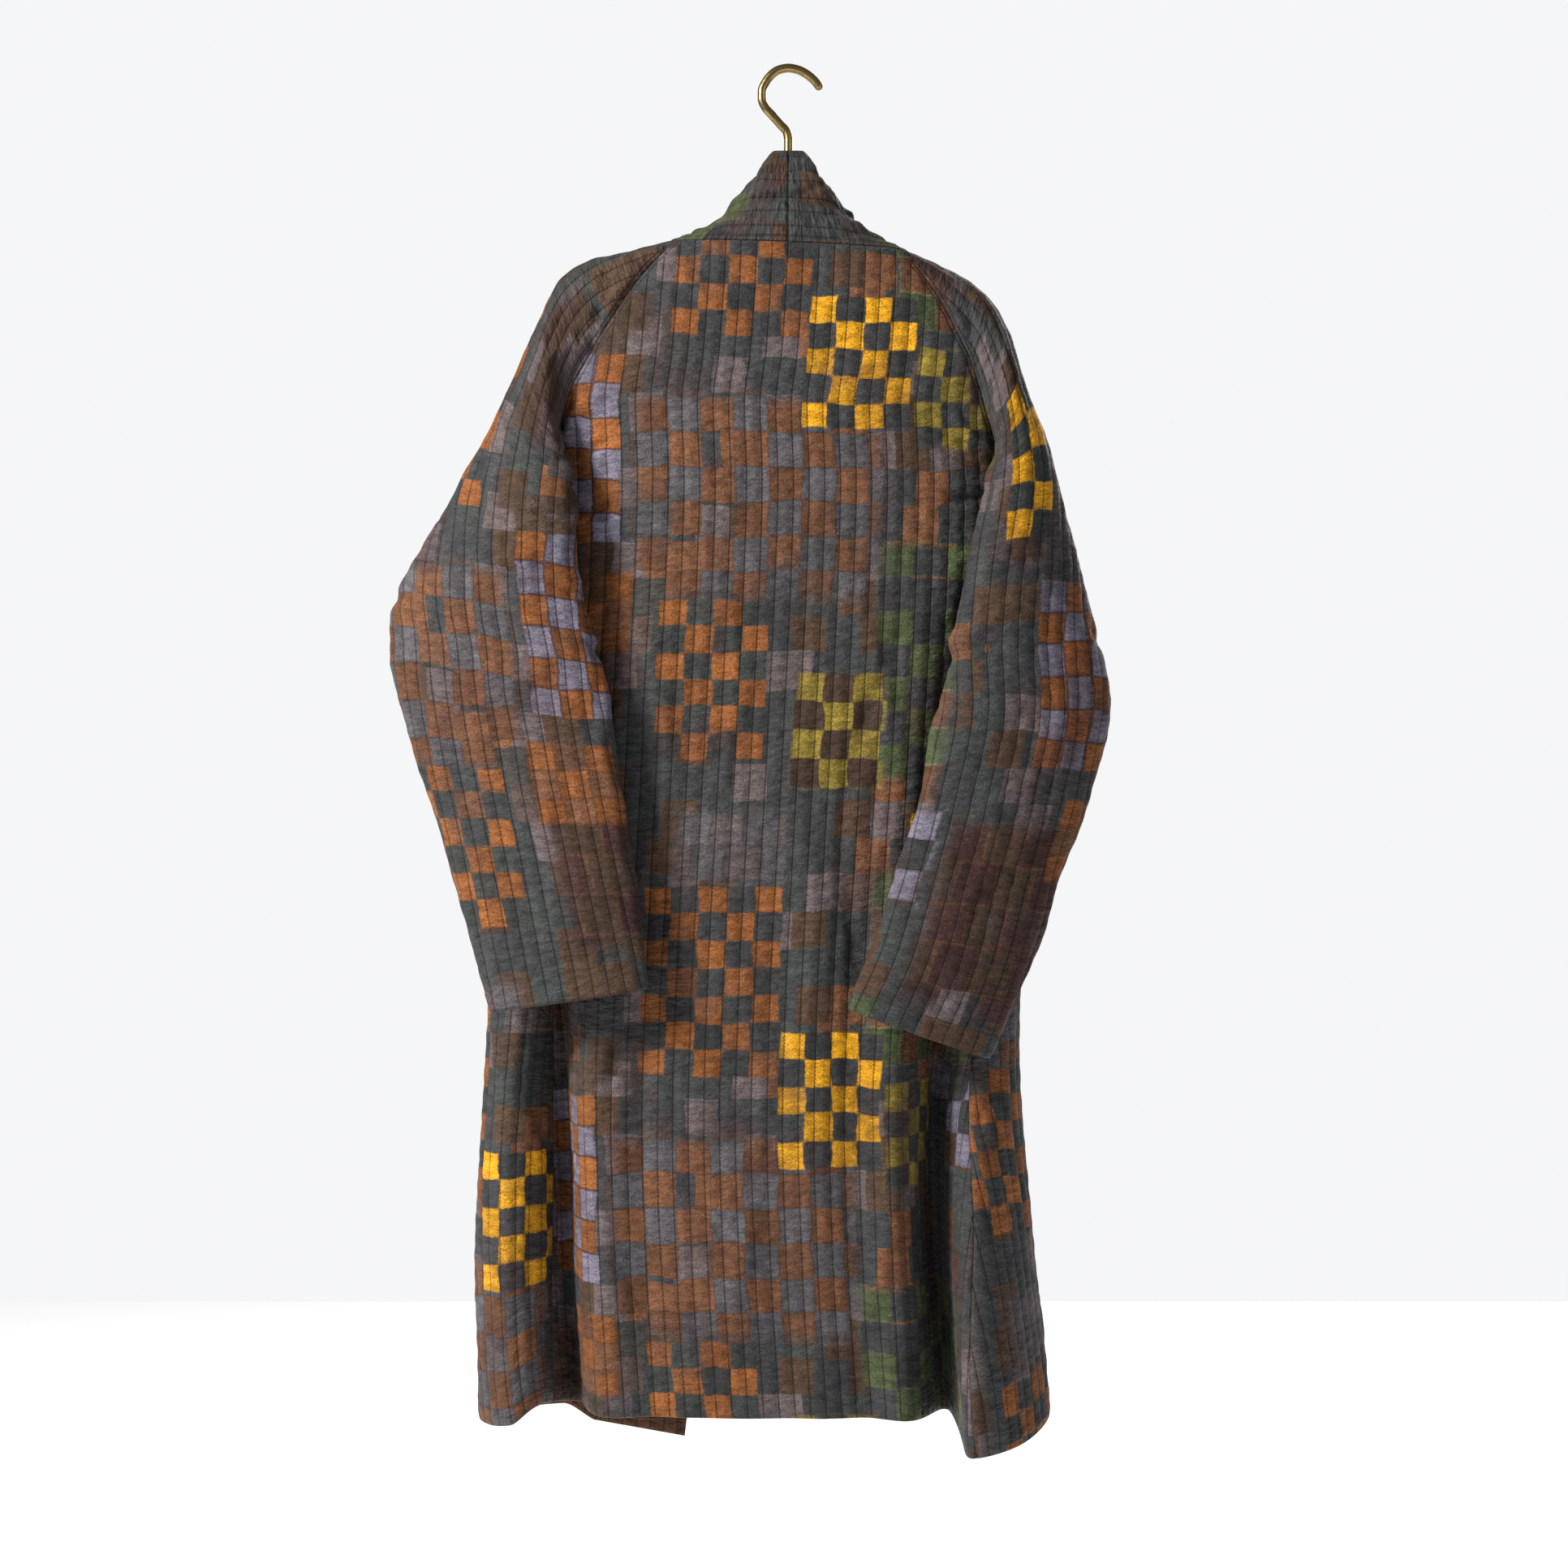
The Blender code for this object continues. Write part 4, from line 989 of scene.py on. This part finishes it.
# Makes a node group: an input is named with its kind or with the number it starts at, an output with its kind.
# The build function is given a maker and the inputs, and returns the outputs by name.
def newGroup(name, inputs, outputs, build):
    kinds = {"colour": "NodeSocketColor", "vector": "NodeSocketVector", "value": "NodeSocketFloat"}
    group = bpy.data.node_groups.new(name, "ShaderNodeTree")
    for label, given in inputs.items():
        kind = given if isinstance(given, str) else "value"
        socket = group.interface.new_socket(name=label, in_out="INPUT", socket_type=kinds[kind])
        if kind != given:
            socket.default_value = given
    for label, kind in outputs.items():
        group.interface.new_socket(name=label, in_out="OUTPUT", socket_type=kinds[kind])
    given, result = group.nodes.new("NodeGroupInput"), group.nodes.new("NodeGroupOutput")
    for label, socket in build(nodeMaker(group), given.outputs).items():
        group.links.new(socket, result.inputs[label])
    return group


# Dyes in linear light
dyes = {
    "charcoal": (0.033, 0.034, 0.037, 1),
    "slate": (0.034, 0.038, 0.038, 1),
    "mushroom": (0.090, 0.070, 0.074, 1),
    "umber": (0.056, 0.032, 0.020, 1),
    "rust": (0.205, 0.070, 0.019, 1),
    "brown": (0.125, 0.053, 0.026, 1),
    "mustard": (0.56, 0.265, 0.008, 1),
    "olive": (0.205, 0.150, 0.024, 1),
    "moss": (0.060, 0.078, 0.034, 1),
    "paleGreen": (0.150, 0.165, 0.070, 1),
    "lavender": (0.150, 0.134, 0.185, 1),
    "greyBlue": (0.074, 0.069, 0.078, 1),
    "aubergine": (0.046, 0.020, 0.018, 1),
    "black": (0.006, 0.005, 0.005, 1),
}

# The print's own layout in one repeat, in metres
printColumns = (
    "left", "top", "right", "bottom", "cellWide", "cellHigh", "rowShift",
    "first", "second", "line", "lineShare", "soft", "missing",
)
printBlocks = [
    (0.010, 0.040, 0.190, 0.250, 0.033, 0.034, 0.5, "umber", "mushroom", "black", 0.25, 0.010, 0.10),
    (0.410, 0.060, 0.600, 0.235, 0.033, 0.035, 0.0, "moss", "brown", "paleGreen", 0.45, 0.009, 0.12),
    (0.180, 0.300, 0.400, 0.480, 0.030, 0.031, 0.0, "brown", "greyBlue", "black", 0.30, 0.012, 0.10),
    (0.400, 0.430, 0.610, 0.640, 0.031, 0.030, 0.0, "moss", "charcoal", "paleGreen", 0.10, 0.007, 0.06),
    (0.000, 0.480, 0.170, 0.650, 0.036, 0.038, 0.5, "aubergine", "umber", "rust", 0.15, 0.014, 0.15),
    (0.230, 0.010, 0.330, 0.075, 0.031, 0.030, 0.5, "greyBlue", "mushroom", "black", 0.30, 0.012, 0.10),
    (0.205, 0.075, 0.330, 0.2465, 0.025, 0.0245, 0.0, "rust", "charcoal", "umber", 0.30, 0.0012, 0.02),
    (0.330, 0.205, 0.428, 0.3275, 0.0245, 0.0245, 0.0, "mustard", "charcoal", "umber", 0.25, 0.0010, 0.0),
    (0.430, 0.250, 0.515, 0.345, 0.026, 0.025, 0.0, "olive", "slate", "umber", 0.20, 0.005, 0.08),
    (0.060, 0.262, 0.168, 0.430, 0.027, 0.028, 0.0, "lavender", "rust", "aubergine", 0.85, 0.0012, 0.0),
    (0.205, 0.480, 0.305, 0.624, 0.025, 0.024, 0.0, "rust", "slate", "umber", 0.30, 0.0012, 0.06),
    (0.020, 0.100, 0.070, 0.225, 0.025, 0.025, 0.0, "mustard", "slate", "umber", 0.25, 0.0010, 0.08),
    (0.525, 0.240, 0.612, 0.330, 0.028, 0.029, 0.0, "lavender", "charcoal", "black", 0.35, 0.006, 0.22),
    (0.330, 0.545, 0.412, 0.650, 0.026, 0.026, 0.0, "olive", "umber", "black", 0.20, 0.004, 0.05),
    (0.440, 0.010, 0.544, 0.060, 0.026, 0.025, 0.0, "mustard", "umber", "umber", 0.25, 0.0010, 0.0),
    (0.100, 0.455, 0.180, 0.530, 0.028, 0.026, 0.0, "rust", "brown", "black", 0.30, 0.003, 0.12),
]
printLook = {
    "repeat": (0.62, 0.66), "repeatDrop": 0.23, "wobble": 0.011, "ragged": 0.0022, "cellBlend": 0.035,
    "faded": 0.5, "fadedDark": 0.72, "line": (0.0018, 0.0003), "overlap": 0.0012,
    "groundCell": (0.031, 0.033), "groundShift": 0.37,
    "ground": [("slate", 0.40, 0.42), ("umber", 0.62, 0.64), ("mushroom", 0.80, 0.82), ("brown", 0.92, 0.93)],
    "bleed": 0.62, "smoke": 0.55, "streak": 0.5, "grain": 0.85,
}


# A block of squares inside a soft-edged rectangle. The product of the sines of both cell places is above zero in
# every other cell and falls through zero at the edges, so it chooses between the two dyes. Odd rows are shifted,
# each cell is a little darker or lighter, some are left out, and a thin line may run round each.
def buildBlock(make, g):
    x, y = make.minus(g["x"], g["left"]), make.minus(g["y"], g["top"])
    rowPlace = make.over(y, g["cellHigh"])
    rowNumber = make.floor(rowPlace)
    odd = make.math("FLOORED_MODULO", rowNumber, 2.0)
    columnPlace = make.timesPlus(odd, g["rowShift"], make.over(x, g["cellWide"]))
    columnNumber = make.floor(columnPlace)
    rowWave, columnWave = (make.math("SINE", make.times(place, math.pi)) for place in (rowPlace, columnPlace))
    waves = make.times(rowWave, columnWave)
    chance = make.whiteNoise(columnNumber, rowNumber, g["left"])
    other = make.whiteNoise(rowNumber, columnNumber, g["top"])
    inX, inY = make.minus(columnPlace, columnNumber), make.minus(rowPlace, rowNumber)
    edgeX = make.times(make.least(inX, make.fromOne(inX)), g["cellWide"])
    edgeY = make.times(make.least(inY, make.fromOne(inY)), g["cellHigh"])
    colour = make.mix(make.step(waves, printLook["cellBlend"], -printLook["cellBlend"]), g["first"], g["second"])
    dark = make.mix(printLook["fadedDark"], colour, dyes["black"])
    colour = make.mix(make.times(other, printLook["faded"]), colour, dark)
    outline = make.times(make.step(make.least(edgeX, edgeY), *printLook["line"]), g["lineShare"])
    colour = make.mix(outline, colour, g["line"])
    insideX = make.least(x, make.minus(g["right"], g["x"]))
    insideY = make.least(y, make.minus(g["bottom"], g["y"]))
    low = make.minus(printLook["overlap"], g["soft"])
    high = make.math("ADD", printLook["overlap"], g["soft"])
    share = make.step(make.least(insideX, insideY), low, high)
    share = make.times(share, make.fromOne(make.math("LESS_THAN", chance, g["missing"])))
    return {"colour": make.mix(share, g["ground"], colour)}


# Ground squares of the dark dyes at random, the blocks over them, then bled and smoky parts, and the yarn's
# mottling
def buildPrint(make, g):
    place = g["place"]
    u, v, _ = make.parts(place)
    ragged = make.minus(make.noise(place, 240.0, 2.0, 0.7), 0.5)
    wobbleU = make.minus(make.noise(place, 20.0), 0.5)
    wobbleV = make.minus(make.noise(make.vector(v, u, 3.7), 20.0), 0.5)
    u = make.timesPlus(ragged, printLook["ragged"], make.timesPlus(wobbleU, printLook["wobble"], u))
    v = make.timesPlus(ragged, printLook["ragged"], make.timesPlus(wobbleV, printLook["wobble"], v))
    wide, high = printLook["repeat"]
    v = make.timesPlus(make.floor(make.over(u, wide)), printLook["repeatDrop"], v)
    x, y = make.math("FLOORED_MODULO", u, wide), make.math("FLOORED_MODULO", v, high)
    cellWide, cellHigh = printLook["groundCell"]
    rowNumber = make.floor(make.over(y, cellHigh))
    cellNumber = make.floor(make.timesPlus(rowNumber, printLook["groundShift"], make.over(x, cellWide)))
    chance = make.whiteNoise(cellNumber, rowNumber, 7.0)
    colour = dyes["charcoal"]
    for dye, low, high in printLook["ground"]:
        colour = make.mix(make.step(chance, low, high), colour, dyes[dye])
    for row in printBlocks:
        values = {key: dyes.get(value, value) for key, value in zip(printColumns, row)}
        colour = make.group(block, ground=colour, x=x, y=y, **values)["colour"]
    bleed = make.noise(make.vector(u, make.times(v, 0.6), 5.0), 13.0, 4.0, 0.65)
    colour = make.mix(make.times(make.step(bleed, 0.50, 0.70), printLook["bleed"]), colour, dyes["aubergine"])
    smoke = make.noise(make.vector(v, u, 8.0), 8.0, 3.0, 0.6)
    colour = make.mix(make.times(make.step(smoke, 0.52, 0.72), printLook["smoke"]), colour, dyes["charcoal"])
    streak = make.noise(make.vector(make.times(u, 12.0), make.times(v, 60.0), 1.0), 10.0)
    streak = make.mix(streak, (0.5, 0.5, 0.5, 1), (1.5, 1.5, 1.5, 1))
    colour = make.mix(printLook["streak"], colour, streak, "MULTIPLY")
    grain = make.step(make.noise(place, 620.0, 3.0, 0.75), 0.28, 0.72)
    grain = make.mix(grain, (0.45, 0.45, 0.46, 1), (1.55, 1.55, 1.52, 1))
    return {"colour": make.mix(printLook["grain"], colour, grain, "MULTIPLY")}


# Stitches: dashes on lines a channel apart and on the seam and hem lines, half widths in metres
stitchLook = {"dash": (0.0006, 0.0003), "share": 0.55, "groove": 0.0013, "seamGroove": 0.0016, "seamLine": 0.004}


# How far a point lies from the nearest stitch line gives the dash, the groove, the ripples pinched beside it and
# the puff that rises between two lines. Each channel has its own start, fullness and painted light and shade.
def buildStitches(make, g):
    u, v, _ = make.parts(g["place"])
    number = make.math("ROUND", make.over(u, g["channel"]))
    away = make.math("ABSOLUTE", make.timesPlus(make.times(number, -1.0), g["channel"], u))
    start = make.whiteNoise(number, 3.0, 1.0)
    beat = make.math("FRACT", make.math("ADD", make.over(v, g["period"]), start))
    hemBeat = make.math("FRACT", make.over(u, g["period"]))
    on, hemOn = (make.math("LESS_THAN", each, stitchLook["share"]) for each in (beat, hemBeat))
    seamAway = make.math("ABSOLUTE", make.minus(g["fromSeam"], stitchLook["seamLine"]))
    dash = make.times(make.step(away, *stitchLook["dash"]), on)
    seamDash = make.times(make.step(seamAway, *stitchLook["dash"]), on)
    hemDash = make.times(make.step(g["fromHem"], *stitchLook["dash"]), hemOn)
    groove = make.step(away, 0.0, stitchLook["groove"])
    for distance in (seamAway, g["fromHem"]):
        groove = make.least(groove, make.step(distance, 0.0, stitchLook["seamGroove"]))
    ripple = make.noise(make.vector(make.times(u, 60.0), make.times(v, 190.0), start), 1.0)
    full = make.timesPlus(start, 0.5, 0.75)
    channelNumber = make.floor(make.over(u, g["channel"]))
    return {
        "dash": make.math("MAXIMUM", dash, make.math("MAXIMUM", seamDash, hemDash)),
        "groove": groove,
        "pucker": make.times(ripple, make.step(away, 0.007, 0.0)),
        "puff": make.times(make.fromOne(make.step(away, 0.0075, 0.0)), full),
        "channelLightAndShade": make.noise(make.vector(channelNumber, make.times(v, 7.0), 2.0), 1.0),
    }


# Plain weave: the product of a warp and a weft wave, with slubs along the weft
def buildWeave(make, g):
    u, v, _ = make.parts(g["place"])
    turns = make.times(g["threads"], 2 * math.pi)
    warp, weft = (make.math("SINE", make.times(place, turns)) for place in (u, v))
    slub = make.noise(make.vector(make.times(u, 30.0), make.times(v, 900.0), 0.0), 1.0)
    return {"height": make.times(warp, weft), "slub": slub}


block = newGroup(
    "printedBlock",
    {
        "ground": "colour", "x": "value", "y": "value", "left": 0.0, "top": 0.0, "right": 0.1, "bottom": 0.1,
        "cellWide": 0.026, "cellHigh": 0.026, "rowShift": 0.0, "first": "colour", "second": "colour",
        "line": "colour", "lineShare": 0.0, "soft": 0.002, "missing": 0.0,
    },
    {"colour": "colour"}, buildBlock,
)
printed = newGroup("patchworkPrint", {"place": "vector"}, {"colour": "colour"}, buildPrint)
stitches = newGroup(
    "quiltStitches",
    {"place": "vector", "channel": 0.014, "period": 0.0034, "fromSeam": 0.09, "fromHem": 0.09},
    dict.fromkeys(("dash", "groove", "pucker", "puff", "channelLightAndShade"), "value"), buildStitches,
)
weave = newGroup(
    "plainWeave", {"place": "vector", "threads": 2200.0}, {"height": "value", "slub": "value"}, buildWeave
)
print("stage: pattern groups")


# A material with its shader and a maker, its even values set on the shader itself
def newMaterial(name, values):
    material = bpy.data.materials.new(name)
    material.use_nodes = True
    shader = material.node_tree.nodes["Principled BSDF"]
    for label, value in values.items():
        shader.inputs[label].default_value = value
    return material, shader, nodeMaker(material.node_tree)


def addBump(make, shader, height, strength, distance):
    bump = make.add("Bump")
    for label, value in (("Strength", strength), ("Distance", distance), ("Height", height)):
        make.put(bump.inputs[label], value)
    make.put(shader.inputs["Normal"], bump.outputs["Normal"])


# Heights are in millimetres and are added up into one bump
quiltFinish = {
    "shader": {"Sheen Weight": 0.05, "Sheen Roughness": 0.45, "Specular IOR Level": 0.12},
    "roughness": 0.53, "slubRough": 0.18, "lining": (0.13, 0.052, 0.022, 1), "thread": (0.012, 0.010, 0.010, 1),
    # Three of these shares paint shade and light into the colour: on the crinkles, per channel and in the stitch
    # grooves
    "crinkleShadeShare": 0.7, "channelLightAndShade": 0.8, "grooveShadeShare": 0.28, "threadShare": 0.7,
    "groove": 0.8, "pucker": 3.2, "crinkle": 4.2, "puff": 1.5, "weave": 0.03, "slub": 0.06, "dash": 0.25,
}


def quiltMaterial(name):
    finish = quiltFinish
    material, shader, make = newMaterial(name, finish["shader"])
    place = make.add("UVMap", uv_map="cloth").outputs["UV"]
    inside, fromSeam, fromHem = (
        make.add("Attribute", attribute_name=label).outputs["Fac"] for label in ("inside", "fromSeam", "fromHem")
    )
    stitch = make.group(stitches, place=place, fromSeam=fromSeam, fromHem=fromHem)
    woven = make.group(weave, place=place)
    u, v, _ = make.parts(place)
    crinkle = make.noise(make.vector(make.times(u, 0.42), v, 2.0), 150.0, 3.0, 0.6)
    lining = make.mix(make.noise(place, 30.0, 3.0), finish["lining"], dyes["umber"])
    colour = make.mix(make.step(inside, 0.5, 0.9), make.group(printed, place=place)["colour"], lining)
    # Painted shade in the crinkle hollows and painted light on their crests, following the crinkle relief of the
    # bump
    crinkleShadeAndLight = make.mix(make.step(crinkle, 0.34, 0.66), (0.66, 0.66, 0.67, 1), (1.28, 1.28, 1.26, 1))
    colour = make.mix(finish["crinkleShadeShare"], colour, crinkleShadeAndLight, "MULTIPLY")
    # Painted light and shade: each channel is made lighter or darker along its length, as if each puff caught the
    # light its own way
    channelLightAndShade = make.mix(make.step(stitch["channelLightAndShade"], 0.3, 0.7), (0.78, 0.78, 0.79, 1), (1.18, 1.18, 1.17, 1))
    colour = make.mix(finish["channelLightAndShade"], colour, channelLightAndShade, "MULTIPLY")
    # Painted shade darkens the stitch, seam and hem grooves
    colour = make.mix(make.times(make.fromOne(stitch["groove"]), finish["grooveShadeShare"]), colour, dyes["black"])
    colour = make.mix(make.times(stitch["dash"], finish["threadShare"]), colour, finish["thread"])
    make.put(shader.inputs["Base Color"], colour)
    make.put(shader.inputs["Roughness"], make.timesPlus(woven["slub"], finish["slubRough"], finish["roughness"]))
    height = make.times(stitch["groove"], finish["groove"])
    for key, relief in (
        ("pucker", stitch["pucker"]), ("crinkle", crinkle), ("puff", stitch["puff"]), ("weave", woven["height"]),
        ("slub", woven["slub"]), ("dash", stitch["dash"]),
    ):
        height = make.timesPlus(relief, finish[key], height)
    addBump(make, shader, height, 1.0, 0.001)
    return material


brassFinish = {
    "clean": (0.30, 0.215, 0.085, 1), "dull": (0.16, 0.115, 0.05, 1), "roughness": 0.2, "dullRough": 0.2,
    "fineRough": 0.1, "bump": (0.25, 0.0003),
}


def brassMaterial(name):
    material, shader, make = newMaterial(name, {"Metallic": 1.0})
    place = make.add("TexCoord").outputs["Object"]
    patina = make.step(make.noise(place, 60.0, 4.0, 0.6), 0.4, 0.7)
    fine = make.timesPlus(make.noise(place, 700.0), brassFinish["fineRough"], brassFinish["roughness"])
    make.put(shader.inputs["Base Color"], make.mix(patina, brassFinish["clean"], brassFinish["dull"]))
    make.put(shader.inputs["Roughness"], make.timesPlus(patina, brassFinish["dullRough"], fine))
    addBump(make, shader, make.noise(place, 240.0, 3.0), *brassFinish["bump"])
    return material


beechFinish = {
    "dark": (0.36, 0.22, 0.115, 1), "light": (0.50, 0.34, 0.19, 1), "fleck": (0.22, 0.12, 0.06, 1),
    "roughness": 0.4, "grainRough": 0.15, "bump": (0.2, 0.0003),
}


# Grain and flecks are noise drawn out along the bar
def beechMaterial(name):
    material, shader, make = newMaterial(name, {})
    x, y, z = make.parts(make.add("TexCoord").outputs["Object"])

    def drawnOut(lengthwise, across, detail):
        place = make.vector(make.times(x, lengthwise), make.times(y, across), make.times(z, across))
        return make.noise(place, 1.0, detail)

    grain, flecks = drawnOut(12.0, 220.0, 3.0), drawnOut(90.0, 900.0, 1.0)
    colour = make.mix(make.step(grain, 0.35, 0.65), beechFinish["dark"], beechFinish["light"])
    colour = make.mix(make.step(flecks, 0.62, 0.7), colour, beechFinish["fleck"])
    make.put(shader.inputs["Base Color"], colour)
    make.put(shader.inputs["Roughness"], make.timesPlus(grain, beechFinish["grainRough"], beechFinish["roughness"]))
    addBump(make, shader, flecks, *beechFinish["bump"])
    return material


# The quilt on every cloth piece, brass on the hook and beech on the bar, each attached to the root
quilt = quiltMaterial("quilted_print")
for piece in (backPanel, fronts[-1], fronts[1], sleevePieces[-1], sleevePieces[1], bands[-1], bands[1]):
    piece.data.materials.append(quilt)
    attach(piece, "root")
for piece, material, slotName in (
    (hook, brassMaterial("worn_brass"), "brass"), (bar, beechMaterial("beech_wood"), "beech"),
):
    piece.data.materials.append(material)
    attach(piece, "root")

# Lamps: name, place, point aimed at, size, watts, colour
studio = {
    "floorZ": -1.62, "floorHalf": 3.2, "wallColour": (0.985, 0.99, 1.0, 1), "wallLight": 0.93, "fillLight": 0.22,
    "floor": {
        "Base Color": (0.8, 0.81, 0.82, 1), "Roughness": 0.9, "Emission Color": (1.0, 1.0, 1.0, 1),
        "Emission Strength": 0.40,
    },
    "lamps": [
        ("key", (-2.5, -1.7, 1.0), (0, 0, -0.6), 0.8, 240, (1.0, 0.97, 0.91)),
        ("fill", (2.6, -2.4, 0.2), (0, 0, -0.7), 2.0, 18, (1.0, 1.0, 1.0)),
        ("front_key", (1.6, 2.6, 0.8), (0, 0, -0.6), 1.8, 80, (1.0, 1.0, 1.0)),
    ],
}


def addFloor():
    h, z = studio["floorHalf"], studio["floorZ"]
    mesh = bpy.data.meshes.new("floor")
    mesh.from_pydata([(-h, -h, z), (h, -h, z), (h, h, z), (-h, h, z)], [], [(0, 1, 2, 3)])
    mesh.materials.append(newMaterial("pale_floor", studio["floor"])[0])
    linked("floor", mesh)


def addLamp(name, place, aim, size, watts, colour):
    light = bpy.data.lights.new(name, "AREA")
    light.color, light.size, light.energy = colour, size, watts
    lamp = linked(name, light)
    lamp.location = place
    lamp.rotation_euler = (Vector(aim) - Vector(place)).to_track_quat("-Z", "Y").to_euler()


# The sky is a pale wall to the camera and a softer light to everything else
def addWorld():
    world = bpy.data.worlds.new("studio")
    world.use_nodes = True
    background = world.node_tree.nodes["Background"]
    background.inputs["Color"].default_value = studio["wallColour"]
    make = nodeMaker(world.node_tree)
    strength = make.add("MapRange")
    for label, value in (
        ("To Min", studio["fillLight"]), ("To Max", studio["wallLight"]),
        ("Value", make.add("LightPath").outputs["Is Camera Ray"]),
    ):
        make.put(strength.inputs[label], value)
    make.put(background.inputs["Strength"], strength.outputs[0])
    bpy.context.scene.world = world


addFloor()
addWorld()
bpy.context.scene.view_settings.view_transform = "Standard"
for lamp in studio["lamps"]:
    addLamp(*lamp)
print("stage: studio")
